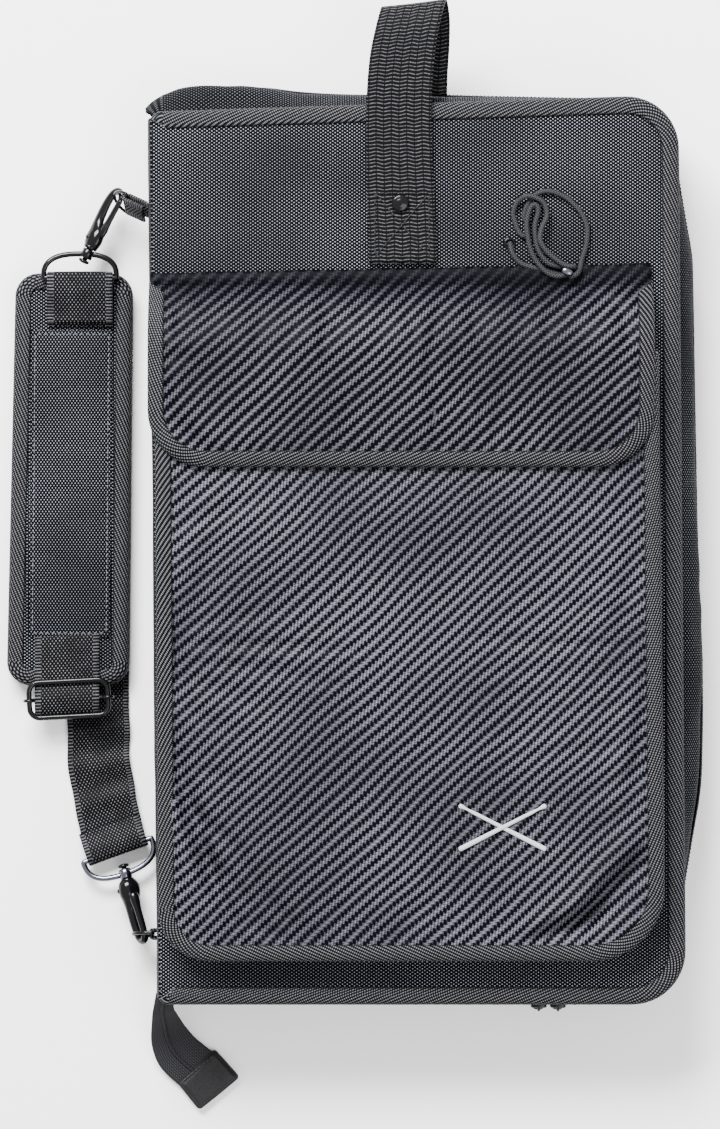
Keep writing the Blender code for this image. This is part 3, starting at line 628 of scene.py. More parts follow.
def touch_fastener():
    f = Finish("hook and loop tape", "touch_tape", 0.9, 0.2)
    nap = f.cloud(0.9, 3)
    return f.colour(f.ramp(nap, 0.3, 0.7), (0.008, 0.008, 0.009), (0.04, 0.04, 0.043)).relief(nap, 0.3, 0.7)


def thread(name, slot, colour):
    f = Finish(name, slot, 0.6, 0.4)
    twist = f.ramp(f.wave(f.u + f.v, 0.8), -0.6, 0.8)
    dark = tuple(c * 0.45 for c in colour)
    return f.colour(twist, dark, colour).relief(twist, 0.08, 0.5)


WEAVE = basket_weave()
TWILL = ribbed_twill()
FLAP_TWILL = ribbed_twill("ribbed twill, shaded", (0.112, 0.112, 0.134), -0.62, 148.5)
TAPE = twill_tape()
COUNTER_TAPE = twill_tape("counter twill tape", -1)
WEBBING = ribbed_webbing()
STRAP_WEBBING = strap_weave()
TAB_WEBBING = strap_weave("tab webbing", 5.2)
LINING = plain_lining()
ZIP_TAPE = zip_cloth()
BLACK_METAL = gloss_metal()
GREY_METAL = grey_metal()
ELASTIC = braided_elastic()
VINYL = smooth_vinyl()
TOUCH = touch_fastener()
BLACK_THREAD = thread("black thread", "smooth_vinyl", (0.05, 0.05, 0.055))
PALE_THREAD = thread("pale thread", "ribbed_twill", (0.55, 0.56, 0.6))
DARK_THREAD = thread("dark grey thread", "webbing", (0.012, 0.012, 0.014))
# painted shade: a darker copy of the covers' basket weave, for the walls and spine that face sideways
SHADED_WALL_WEAVE = basket_weave("wall cloth, painted shade", (0.17, 0.178, 0.21))
PALE_GREY_THREAD = thread("grey thread", "basket_weave", (0.16, 0.165, 0.19))
PATCH_WEAVE = basket_weave("patch cloth", (0.30, 0.315, 0.38), (1.77, 2.56))


# Camera, light and floor


def softbox(name, at, size, power):
    """A square lamp that points at the middle of the floor."""
    data = bpy.data.lights.new(name, "AREA")
    data.shape = "RECTANGLE"
    data.size, data.size_y = size
    data.energy = power
    obj = linked(name, data)
    obj.location = at
    obj.rotation_euler = (-Vector(at)).to_track_quat("-Z", "Y").to_euler()


def studio():
    lens = bpy.data.cameras.new("camera")
    lens.sensor_fit = "HORIZONTAL"
    lens.sensor_width = 36
    lens.lens = 228.8
    camera = linked("camera", lens)
    camera.location = (0.0016, -0.0019, 2.5)
    bpy.context.scene.camera = camera
    softbox("key", (-0.6, 1.5, 1.7), (1.3, 0.8), 250)
    softbox("fill", (0.9, -0.7, 2), (1.4, 1.4), 38)
    world = bpy.data.worlds.new("studio")
    world.use_nodes = True
    sky = world.node_tree.nodes["Background"].inputs
    sky[0].default_value = (1, 1, 1, 1)
    sky[1].default_value = 1.2
    bpy.context.scene.world = world
    mesh = bpy.data.meshes.new("floor")
    mesh.from_pydata([(-3, -3, 0), (3, -3, 0), (3, 3, 0), (-3, 3, 0)], [], [(0, 1, 2, 3)])
    mesh.uv_layers.new(name="UVMap")
    mesh.materials.append(Finish("floor", None, 0.9, 0.1).plain((0.95, 0.95, 0.95)).material)
    linked("floor", mesh)


# The hanging cord: it leaves an eyelet in the cover and is wound loosely on it


CORD_DIAMETER = 2.85
CORD_LAYERS = (61.75, 64.75, 67.7)


def cord_line():
    """One turned bight over the wound ring, from the eyelet to the crimp that holds the other end."""
    low, middle, high = CORD_LAYERS
    return flowing(
        [
            (81.6, 169.4, 60.6), (82.6, 164.6, low), (86, 159.6, low), (91.2, 157, low), (98, 155.4, low),
            (105, 153.4, low), (111.6, 152.4, low), (115.4, 152.3, 62.2), (116.6, 152.3, 63.3),
            (115.4, 152.2, 64.5), (111.6, 152.2, middle),
            (105.6, 151.6, middle), (99.3, 155, middle), (93, 164, middle), (90.3, 177.6, middle),
            (91.6, 186.2, middle), (93.6, 189.4, middle), (95.9, 188.9, middle), (96.3, 185, middle),
            (94.6, 177.6, middle), (96.2, 166.4, middle), (101.2, 159, middle), (107, 156.9, middle),
            (111.6, 156.4, middle), (114.6, 156.4, 65.2), (115.8, 156.5, 66.3), (114.6, 156.6, 67.4),
            (111.4, 156.8, high), (107, 159.4, high),
            (101.2, 164.2, high), (97.4, 170.4, high), (98.3, 177.2, 66.6), (101, 183.4, middle + 0.2),
            (99.8, 189.9, middle), (95.4, 193.2, middle + 0.2), (90.4, 194.2, middle - 0.1), (85.6, 191.4, 62.6),
            (83.2, 185.6, low), (84.4, 180, low), (86, 175.9, low), (88.4, 173.2, low), (91.2, 174.6, low),
            (90.6, 179, low), (89, 184, low), (91.2, 190.4, low), (95.8, 195.6, low), (102.6, 197, low),
            (111, 193.8, low), (118.6, 186.6, low), (122.6, 177.8, low), (122, 167.8, low),
            (119.6, 160, low + 0.1), (118.8, 156, 63.6), (117, 152.6, 66.6), (113.6, 150.9, high + 0.3),
        ],
        steps=7,
    )


def hanging_cord():
    line = spread(cord_line(), 0.8)
    cord = tube("elastic_cord", line, CORD_DIAMETER / 2, ELASTIC, "front", "hanging_cord", sides=16)
    clip = Piece()
    turn = math.radians(-22)
    axes = ((math.cos(turn), math.sin(turn), 0), (-math.sin(turn), math.cos(turn), 0), (0, 0, 1))
    pebble(clip, (111.6, 153.6, 69.6), (3, 1.9, 1.7), axes, 0.75, (12, 24))
    crimp = clip.make("crimp_clip", GREY_METAL, "front", "cord_crimp")
    rim = [(81.4 + 2.6 * math.cos(a), 169.2 + 2.6 * math.sin(a), 60.5) for a in circle(32)]
    tube("eyelet_rim", rim, 0.75, BLACK_METAL, "front", "cord_eyelet", closed=True, sides=10)


# Covers


COVER = ((-105.5, -236), (174.8, -236), (170.8, 248), (-110.5, 239))
COVER_RADII = (5, 28, 27, 7)
COVER_CENTRE = (30, 3)
FRONT_TOP, FRONT_UNDER = 60.1, 53.9


def cover(side, top, under, tape):
    """A padded cover and the folded tape round its three free sides."""
    cloth = slab(outline(COVER, COVER_RADII, 1), COVER_CENTRE, top, under, bulge=0.2).make(
        f"{side}_cover_cloth", WEAVE, side, f"{side}_panel")
    edging(COVER, COVER_RADII, tape, kept=clear_of_spine).make(
        f"{side}_cover_tape", TAPE, side, f"{side}_binding")


def front_cover():
    def top(x, y, inside):
        soft = 0.45 * ripple(x, y, 95, 3) + 0.2 * ripple(x, y, 38, 5)
        ridge = 0.9 * hump(x - spine_x(y), 6.4, 2.2)
        return FRONT_TOP + soft * fade(inside, 4, 30) - 1.5 * hump(inside, 0, 7) + ridge

    cover("front", top, rolled(FRONT_UNDER, 0.8, 5), [
        (8.6, 59.9), (8.7, 60.3), (8.3, 60.7), (6.5, 60.95), (4, 61), (2, 60.75), (0.4, 60.1), (-0.5, 58.9),
        (-0.9, 57.4), (-0.8, 55.9), (-0.2, 54.6), (0.9, 53.75), (2.6, 53.3), (4.4, 53.2), (4.4, 53.6), (2.4, 54.2),
        (0.9, 55.4), (0.5, 57.4), (1, 59), (2.6, 59.7),
    ])


def back_cover():
    cover("back", rolled(6, -0.9, 5), rolled(0, 0.35, 6), [
        (8.6, 0.3), (8.6, -0.05), (6, -0.1), (2, 0), (0.3, 0.5), (-0.6, 1.6), (-0.9, 3.1), (-0.7, 4.6),
        (0.1, 5.9), (1.4, 6.6), (3.2, 6.9), (4.6, 6.9), (4.6, 6.5), (2.4, 5.9), (0.9, 4.7), (0.5, 3), (1.2, 1),
        (3, 0.4),
    ])


# Zipped walls


SWELL_TOP = ((-110, 1), (-107, 8.4), (-101.8, 12.6), (-90, 15.6), (-77, 16.6), (-47, 15.4), (-32, 12.6),
             (-14, 10.8), (5, 9.6), (40, 8.6), (100, 4.8), (145, 2))
SWELL_RIGHT = ((-236, 0.3), (-186, 0.6), (-172, 2.9), (-150, 7.6), (-129, 11.8), (-116, 13.3), (-85, 14.2),
               (-52, 14.3), (0, 12.2), (164, 10.6), (208, 2.2), (248, 1.2))
SWELL_BOTTOM = ((-106, 2.6), (-94, 3.2), (128, 3.2), (160, 1))
PEAK = 1.8  # above 1, the walls swell most above their middle
WALL_FOOT, WALL_TALL = 6, 47.8


def wall_line():
    """The zipped walls' line round the lower, right and upper sides, with its outward way and its swell."""
    edge = outline(COVER, COVER_RADII, 2.3, step=3, arc=14)
    upper = np.argmin(np.hypot(edge[:, 0] + 108.2, edge[:, 1] - 236.7))
    line = edge[14:upper + 1]
    x, y = line.T
    swells = ((x, SWELL_BOTTOM), (y, SWELL_RIGHT), (x, SWELL_TOP))
    low, right, top = (np.interp(at, *zip(*swell)) for at, swell in swells)
    swell = np.where(x > 146, right, np.where(y > 0, top, low))
    kernel = np.hanning(9)
    swell = np.convolve(np.pad(swell, 4, mode="edge"), kernel / kernel.sum(), mode="valid")
    return line, outward_of(line), swell


def wall_arch(z):
    return np.sin(math.pi * ((z - WALL_FOOT) / WALL_TALL) ** PEAK)


def wall_surface(heights, lift=0, crumple=0, seed=11):
    line, outward, swell = wall_line()
    around = lengths_along(line)
    z = np.asarray(heights, float)
    arch = wall_arch(z)
    reach = swell[:, None] * arch[None] + lift
    if crumple:
        u, v = np.meshgrid(around, z, indexing="ij")
        loose = (crumple * (0.5 + 0.16 * swell))[:, None] * np.minimum(arch * 1.5, 1)[None]
        reach = reach + loose * (ripple(u, v * 1.6, 30, seed) + 0.6 * ripple(u, v * 2.4, 12, seed + 1))
    plan = line[:, None] + outward[:, None] * reach[..., None]
    points = np.dstack([plan, np.broadcast_to(z, plan.shape[:2])])
    return points, strip_map(around, lengths_along(points[len(points) // 2]))


def walls():
    for name, low, high, seed, side, body in (
        ("rear_wall_cloth", 6.4, 26.6, 11, "rear", "back"),
        ("front_wall_cloth", 34.2, 53.9, 23, "front", "front"),
    ):
        points, places = wall_surface(np.linspace(low, high, 12), crumple=0.55, seed=seed)
        nodes = [f"{side}_gusset_{part}" for part in ("bottom", "right", "top")]
        cloth = Piece().shell(points, places, 1.5).make(name, SHADED_WALL_WEAVE, body, *nodes)
    for side, low, high, teeth, body in (
        ("rear", 25.4, 29.6, 29.3, "back"),
        ("front", 31.2, 35.4, 31.4, "front"),
    ):
        piece = Piece().shell(*wall_surface(np.linspace(low, high, 5), lift=1.15), 0.7)
        line, outward, swell = wall_line()
        plan = line + outward * (swell * wall_arch(teeth) + 1.9)[:, None]
        add_coil(piece, np.column_stack([plan, np.full(len(plan), teeth)]), 1, 0.28, 7)
        piece.make(f"{side}_zipper", ZIP_TAPE, body, f"{side}_zip_chain")


def add_coil(piece, line, radius, swell, sides):
    """The zipper's coil on one tape: a thin round bar that swells and narrows at each tooth."""
    path = spread(line, 0.7)
    add_tube(piece, path, radius + swell * np.cos(np.arange(len(path)) * TAU / 3), sides=sides)


def spine_x(y):
    """Where the spine is at a height along the bag."""
    return -105.5 - 5 * (y + 236) / 475


def spine():
    """Cloth down the spine, sewn to both covers."""
    ys = np.linspace(-233.5, 236.5, 150)
    heights = np.linspace(4, 56.5, 26)
    y, z = np.meshgrid(ys, heights, indexing="ij")
    arch = np.sin(math.pi * np.clip((z - 4) / 52.5, 0, 1)) ** 0.7
    crumple = 0.7 * ripple(y, z, 42, 31) + 0.35 * ripple(y, z * 2, 15, 32)
    x = spine_x(y) + 0.9 - 2.6 * arch - crumple * arch
    points = np.dstack([x, y, z])
    cloth = Piece().shell(points, strip_map(ys, heights), 2).make("spine_cloth", SHADED_WALL_WEAVE, None, "spine_panel")
    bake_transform(cloth)


# The outer pocket and its flap


POCKET = ((-104.6, -211.5), (162.8, -211.5), (159.4, 111), (-107, 111))
POCKET_RADII = (27, 38, 1, 1)
POCKET_CENTRE = (27, -52)
CREASES = (
    (-90, -118, -76, -180, 5, 6.4),
    (-80, -156, -62, -203, 3.6, 4.6),
    (-98, -84, -90, -140, 4, 3.4),
    (-70, 22, -90, -44, 7, 3.2),
    (-99, -10, -93, -74, 4.5, 3),
    (-60, -190, -30, -204, 4, 2.2),
    (155, -154, 117, -194, 6, 7.2),
    (146, -178, 92, -203, 4.6, 5),
    (156, -60, 147, -124, 5, 2.8),
    (150, 10, 140, -40, 6, 2),
    (20, -206, 34, -180, 5, 2),
)


def crease_depth(x, y, creases):
    depth = np.zeros_like(x)
    for ax, ay, bx, by, width, deep in creases:
        sx, sy = bx - ax, by - ay
        share = ((x - ax) * sx + (y - ay) * sy) / (sx * sx + sy * sy)
        off = ((x - ax) * sy - (y - ay) * sx) / math.hypot(sx, sy)
        ends = fade(share, -0.25, 0.3) * (1 - fade(share, 0.7, 1.25))
        fold = hump(off, 0, width) - 0.45 * hump(off, 1.9 * width, width)
        depth = depth + deep * ends * fold
    return depth


HIGHEST_WRINKLE = 3


def settled_cloth(low, high, excess, step=3.5, frames=30):
    """The wrinkles of a cloth cut larger than the opening that it is sewn round, by the share excess.

    A cloth simulation makes them. The simulated sheet bulges as a whole too, and that is taken off, so the
    result gives the height of the wrinkles alone.
    """
    xs, ys = (np.arange(a, b + step / 2, step) for a, b in zip(low, high))
    x, y = np.meshgrid(xs, ys, indexing="ij")
    z = 0.6 * np.sin(x / 17 + y / 29) * np.sin(y / 23 - x / 41) + 0.4 * np.sin((x + y) / 11)
    index = np.arange(x.size).reshape(x.shape)
    faces = np.stack([index[:-1, :-1], index[1:, :-1], index[1:, 1:], index[:-1, 1:]], axis=-1).reshape(-1, 4)
    mesh = bpy.data.meshes.new("settling")
    mesh.from_pydata((np.dstack([x, y, z]).reshape(-1, 3) * MM).tolist(), [], faces.tolist())
    loose = linked("settling", mesh)
    sewn = loose.vertex_groups.new(name="sewn")
    sewn.add(np.concatenate([index[0], index[-1], index[:, 0], index[:, -1]]).tolist(), 1, "REPLACE")
    cloth = loose.modifiers.new("cloth", "CLOTH")
    cloth.settings.quality = 5
    cloth.settings.mass = 0.3
    cloth.settings.tension_stiffness = cloth.settings.compression_stiffness = 12
    cloth.settings.shear_stiffness = 4
    cloth.settings.bending_stiffness = 0.15
    cloth.settings.air_damping = 3
    cloth.settings.vertex_group_mass = "sewn"
    cloth.settings.shrink_min = cloth.settings.shrink_max = -excess
    cloth.settings.effector_weights.gravity = -0.03
    cloth.collision_settings.use_collision = False
    cloth.point_cache.frame_start, cloth.point_cache.frame_end = 1, frames
    for frame in range(1, frames + 1):
        bpy.context.scene.frame_set(frame)
    settled = np.empty(x.size * 3)
    loose.evaluated_get(bpy.context.evaluated_depsgraph_get()).data.vertices.foreach_get("co", settled)
    bpy.context.scene.frame_set(1)
    bpy.data.objects.remove(loose)
    bpy.data.meshes.remove(mesh)
    heights = settled.reshape(*x.shape, 3)[..., 2] / MM
    kernel = np.hanning(13) / np.hanning(13).sum()
    bulge = np.pad(heights, 6, mode="reflect", reflect_type="odd")
    for axis in (0, 1):
        bulge = np.apply_along_axis(np.convolve, axis, bulge, kernel, mode="valid")
    wrinkles = np.clip(heights - bulge, -HIGHEST_WRINKLE, HIGHEST_WRINKLE)

    def sample(px, py):
        across = np.clip((px - xs[0]) / step, 0, len(xs) - 1.001)
        up = np.clip((py - ys[0]) / step, 0, len(ys) - 1.001)
        i, j = across.astype(int), up.astype(int)
        a, b = across - i, up - j
        return ((1 - a) * (1 - b) * wrinkles[i, j] + a * (1 - b) * wrinkles[i + 1, j]
                + (1 - a) * b * wrinkles[i, j + 1] + a * b * wrinkles[i + 1, j + 1])

    return sample


POCKET_WRINKLES = settled_cloth((-98, -205), (156, 105), 0.012)
FLAP_WRINKLES = settled_cloth((-106, 54), (153, 146), 0.012)


POCKET_TOP = 76.1


def pocket_height(x, y, inside):
    free = 1 - fade(y, 20, 58)
    puff = 2.6 * fade(inside, 4, 60)
    waves = 1.1 * ripple(x, y, 85, 41) + 0.5 * ripple(x, y, 34, 42) + 0.2 * ripple(x, y, 14, 43)
    waves = waves + 2.2 * POCKET_WRINKLES(x, y)
    soft = (puff + waves * fade(inside, 4, 22) - crease_depth(x, y, CREASES) * fade(inside, 2, 10)) * free
    return POCKET_TOP + soft


def pocket():
    edge = outline(POCKET, POCKET_RADII, 1.2, step=3)

    def under(x, y, inside):
        return pocket_height(x, y, inside) - 1.6

    face = slab(edge, POCKET_CENTRE, pocket_height, under, rings=90).make(
        "pocket_face_cloth", TWILL, "front", "pocket_face")
    edging(POCKET, POCKET_RADII, [
        (7.9, 76.1), (8, 76.9), (7.4, 77.4), (4.4, 77.9), (1.6, 77.7), (0, 77), (-0.6, 75.9), (-0.4, 74.8),
        (0.6, 74), (2.6, 73.6), (5.4, 73.6), (5.5, 74.1), (2.6, 74.6), (1, 75.6), (2.2, 76.5), (4.6, 76.7),
    ]).make("pocket_tape", COUNTER_TAPE, "front", "pocket_binding")
    path = open_outline(POCKET, POCKET_RADII, 2.4, lambda x, y: y < 109.8)
    low, high = 60.5, 74.2
    heights = np.linspace(low, high, 9)
    us = lengths_along(path)
    u, z = np.meshgrid(us, heights, indexing="ij")
    swell = (1 + 0.5 * ripple(u, z * 2, 20, 51)) * np.sin(math.pi * (z - low) / (high - low))
    plan = path[:, None] + outward_of(path)[:, None] * swell[..., None]
    Piece().shell(np.dstack([plan, z]), strip_map(us, heights), 1.2).make(
        "pocket_wall_cloth", TWILL, "front", "pocket_wall_left", "pocket_wall_bottom", "pocket_wall_right")
    cloth_block("pocket_loop_tape", (-40, 62, 76.1), (90, 82, 77.3), TOUCH, "front", "pocket_touch_tape")
    emblem()


def emblem():
    """A small sewn sign of two crossed sticks."""
    piece = Piece()
    centre = np.array((77, -141))
    along = np.linspace(-25, 25, 60)
    tip = hump(along, 24.5, 1.8) - hump(along, 21, 2.5)
    radii = 1 + 0.35 * (1 - fade(along, -25, 15) + tip)
    for lean, lift in ((27, 0.75), (153, 0.35)):
        lean = math.radians(lean)
        plan = centre + along[:, None] * np.array((math.cos(lean), math.sin(lean)))
        z = pocket_height(plan[:, 0], plan[:, 1], np.full(len(plan), 60)) + lift
        add_tube(piece, np.column_stack([plan, z]), radii, sides=10, flatten=0.45)
    piece.make("emblem_thread", PALE_THREAD, "front")


def cloth_block(name, low, high, finish, body, node):
    """A flat strip of cloth with its edges a little rounded."""
    (left, near, foot), (right, far, head) = low, high
    corners = ((left, near), (right, near), (right, far), (left, far))
    edge = outline(corners, (1.2,) * 4, arc=5)
    centre = ((left + right) / 2, (near + far) / 2)
    slab(edge, centre, rolled(head, -0.3, 0.6), foot, rings=10, sides=2).make(name, finish, body, node)


FLAP = ((-110.5, 50), (157.5, 50), (157.5, 148.5), (-110.5, 148.5))
FLAP_RADII = (30, 30, 0.6, 0.6)
FLAP_TALL = (*FLAP[:2], (157.5, 172), (-110.5, 172))
FLAP_CREASES = (
    (-98, 138, -84, 92, 6, 1.6),
    (-60, 144, -44, 104, 7, 0.8),
    (20, 144, 10, 112, 7, 0.7),
    (96, 144, 80, 108, 6, 0.8),
    (148, 136, 136, 92, 6, 1.6),
    (-70, 82, -20, 66, 8, 0.7),
    (120, 78, 70, 66, 8, 0.6),
)


def flap_height(x, y, inside=None):
    share = np.clip((147 - y) / 36, 0, 1)
    rise = np.sin(share * math.pi / 2) ** 0.9
    side = np.minimum(x + 110.5, 157.5 - x)
    droop = 1.7 * hump(side, 0, 9) * rise + 1.2 * hump(y, 50, 9)
    open_part = fade(side, 2, 18) * fade(y, 50, 66) * (1 - fade(y, 138, 148))
    waves = 0.9 * ripple(x, y, 70, 61) + 0.45 * ripple(x, y, 28, 62) + 2 * FLAP_WRINKLES(x, y)
    return 62.2 + 18.6 * rise - droop + (waves + 0.6 - crease_depth(x, y, FLAP_CREASES)) * open_part


def flap():
    edge = outline(FLAP, FLAP_RADII, 1.2, step=3)

    def under(x, y, inside):
        return flap_height(x, y) - 1.7

    cloth = slab(edge, (23, 98), flap_height, under, rings=70, sides=2).make(
        "flap_cloth", FLAP_TWILL, None, "flap_panel")
    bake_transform(cloth)
    profile = ((8.2, 0.2), (8.2, 0.8), (6, 1.15), (3, 1.2), (0.9, 0.7), (-0.2, -0.3), (-0.4, -1.2), (0.3, -2.2),
               (2, -2.7), (5.4, -2.6), (5.4, -2), (2.4, -1.9), (1.2, -1), (2, 0))
    rings = []
    for inset, lift in profile:
        ring = open_outline(FLAP_TALL, FLAP_RADII, inset, lambda x, y: y < 170)
        rings.append(np.column_stack([ring, flap_height(ring[:, 0], ring[:, 1]) + lift]))
    points = np.stack(rings, axis=1)
    points = points[points[:, :, 1].max(axis=1) < 150]
    piece = Piece()
    closed_run(points, lengths_along(np.array(profile), closed=True), piece)
    tape = piece.make("flap_tape", TAPE, None, "flap_binding")
    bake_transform(tape)
    cloth_block("flap_hook_tape", (-40, 62, 77.7), (90, 82, 78.9), TOUCH, "flap", "flap_touch_tape")
    xs = np.linspace(-110, 157, 90)
    shares = np.linspace(0, 1, 9)
    x, share = np.meshgrid(xs, shares, indexing="ij")
    high = 153 + 5.4 * (x + 110) / 267
    y = 146.4 + (high - 146.4) * share
    z = 60.8 + 1.5 * np.sin(math.pi * (0.12 + 0.85 * share)) + 0.15 * ripple(x, y, 20, 66)
    Piece().shell(np.dstack([x, y, z]), np.dstack([x, y]), 1.2).make(
        "flap_seam_cloth", FLAP_TWILL, "front", "flap_seam_strip")


# The carrying handle


def handle_path():
    route = (
        (24.4, 158.4, 62.2), (24.2, 172, 61.9), (23.6, 186, 61.9), (22.6, 215, 62.6), (22.4, 246, 64),
        (24.2, 270, 64.8), (27.2, 286, 64), (29.4, 294.6, 60.8), (30.6, 297.6, 55.6), (31.6, 295.6, 50.2),
        (32.6, 288, 46.4), (32.4, 276, 44.2), (31.4, 262, 43.4), (31, 250, 43),
    )
    return spread(flowing(route, 10), 2)


def handle():
    path = handle_path()
    turn = fade(path[:, 1], 255, 296)
    across = np.column_stack([np.ones(len(path)), 0.12 * turn, np.zeros(len(path))])
    width = 36 - 1.4 * fade(path[:, 1], 190, 240)
    band(path, across, width, 1.5, columns=25, crown=0.25).make(
        "handle_strap", WEBBING, "front", "handle_webbing")
    stitches = Piece()
    a, b, c, d = ((x, y, 63.05) for x, y in ((9.6, 162), (38.4, 162), (38.4, 196), (9.6, 196)))
    for start, end in ((a, b), (b, c), (c, d), (d, a), (a, c), (d, b)):
        stitch_run(stitches, start, end)
    stitches.make("handle_stitches", DARK_THREAD, "front")
    dome = Piece()
    section = ((0, 65.2), (2, 65.2), (2.6, 64.9), (3.6, 65), (4.3, 64.6), (4.6, 63.9), (4.6, 63), (0, 63))
    points = np.array([[(23 + r * math.cos(a), 190.5 + r * math.sin(a), z) for r, z in section]
                       for a in circle(40)])
    dome.grid(points, np.zeros((41, len(section), 2)), wrap_u=True)
    dome.make("handle_rivet_cap", BLACK_METAL, "front", "handle_rivet")


def stitch_run(piece, start, end, length=2.3, gap=1, radius=0.3):
    """A row of stitches, each a short bar with its middle a little raised."""
    start, end = np.array(start, float), np.array(end, float)
    way = unit(end - start)
    for index in range(int(np.linalg.norm(end - start) / (length + gap))):
        a = start + way * (index * (length + gap) + gap / 2)
        path = np.array([a, a + way * length * 0.5, a + way * length])
        path[1, 2] += 0.15
        add_tube(piece, path, radius, sides=6, cap=False)


# Zip sliders and the zip's spare end


def pebble(piece, centre, half, axes=None, power=0.6, steps=(14, 24)):
    """A rounded block: half gives its half size along each of three axes."""
    theta, phi = np.meshgrid(np.linspace(0, math.pi, steps[0]), circle(steps[1]), indexing="ij")
    ball = np.dstack([np.cos(theta), np.sin(theta) * np.cos(phi), np.sin(theta) * np.sin(phi)])
    shaped = np.sign(ball) * np.abs(ball) ** power * np.asarray(half)
    if axes is not None:
        shaped = shaped @ unit(axes)
    piece.grid(shaped + np.asarray(centre), np.zeros((steps[0], steps[1] + 1, 2)), wrap_v=True)


def turned(piece, origin, axis, profile, sides=32):
    """A turned shape round an axis: profile lists (distance along, radius)."""
    axis = unit(axis)
    first = unit(np.cross(axis, (0.3, 0.2, 1)))
    second = np.cross(axis, first)
    spin = circle(sides)
    ring = first * np.cos(spin)[:, None] + second * np.sin(spin)[:, None]
    along = np.array(profile, float)
    points = np.asarray(origin) + ring[:, None] * along[None, :, 1:2] + axis * along[None, :, :1]
    piece.grid(points, np.zeros((sides + 1, len(profile), 2)), wrap_u=True)


def zip_sliders():
    for side, x in (("left", 98), ("right", 108.4)):
        body = Piece()
        pebble(body, (x, -239.6, 30.5), (4.4, 1.5, 4.6), power=0.45)
        bridge = [(x, -240.6, 34), (x, -241.9, 33), (x, -242.4, 30.6), (x, -242.1, 27.8), (x, -240.9, 26.8)]
        add_tube(body, flowing(bridge, 6), 0.8, sides=10)
        body.make(f"{side}_slider_body", BLACK_METAL, f"{side}_slider", f"{side}_zip_slider")
        pull = Piece()
        pebble(pull, (x, -241.8, 14.6), (2.9, 0.7, 8.6), power=0.5)
        loop = [(x + 2 * math.cos(a), -241.8, 24.6 + 2.6 * math.sin(a)) for a in circle(28)]
        add_tube(pull, loop, 0.65, sides=10, closed=True)
        pull.make(f"{side}_pull_tab", BLACK_METAL, f"{side}_pull", f"{side}_zip_pull")


TAIL_ROUTE = (
    (-103.4, -232.6, 30.6), (-104.4, -238.4, 29.4), (-104.8, -243.5, 25.5), (-104.2, -248.5, 19.5),
    (-102.6, -258, 10), (-98.6, -266.5, 5.4), (-93.4, -272.2, 3.6), (-87, -277.6, 3.1),
)
CAP = ((-97.4, -285.2), (-86, -299.4), (-64.2, -281.6), (-77.8, -266.4))


def zip_tail():
    """The spare zipper past the spine, and the folded cap that is sewn over its end."""
    path = spread(flowing(TAIL_ROUTE, 8), 1.2)
    share = np.linspace(0, 1, len(path))[:, None]
    across = unit(np.array((1, 0.1, 0)) * (1 - share) + np.array((0.72, 0.69, 0)) * share)
    width = 10 + 16 * fade(share[:, 0], 0, 0.9)
    piece = band(path, across, width, 1.1, columns=21, crown=0.5)
    upward = unit(np.cross(across, np.gradient(path, axis=0)))
    upward *= np.sign(upward[:, 2:3] + 1e-6)
    add_coil(piece, path + upward - across * width[:, None] * 0.06, 1.15, 0.25, 8)
    piece.make("zip_tail_strip", ZIP_TAPE, "back", "zip_tail_tape")
    edge = outline(CAP, (1.6, 2.2, 2.2, 1.6), step=2, arc=6)

    def top(x, y, inside):
        return 6.1 - 1.6 * hump(inside, 0, 1.6) + 0.35 * ripple(x, y, 9, 71)

    slab(edge, (-81.4, -283), top, rolled(0.4, 0.9, 1.4), rings=26, sides=6, bulge=0.4).make(
        "zip_end_cap", VINYL, "back", "zip_tail_cap")
    stitches = Piece()
    stitch_run(stitches, (-95, -283.4, 5.95), (-77.6, -269, 5.95), length=1.9, gap=0.8, radius=0.28)
    stitches.make("zip_cap_stitches", BLACK_THREAD, "back")


# The shoulder strap


PAD = ((-190, -66.8), (-124.8, -66.8), (-122.7, 155.8), (-185, 155.8))
PAD_RADII = (12,) * 4
PAD_CENTRE = (-155.6, 44.5)
PATCH = ((-178.6, -41.3), (-134.1, -41.3), (-132.6, 125.5), (-177, 125.5))
PAD_WRINKLES = settled_cloth((-181, -44), (-130, 128), 0.01, step=3)


def pad_swell(x, y):
    return 0.55 * ripple(x, y, 48, 81) + 0.25 * ripple(x, y, 17, 82) + 0.5 * PAD_WRINKLES(x, y)


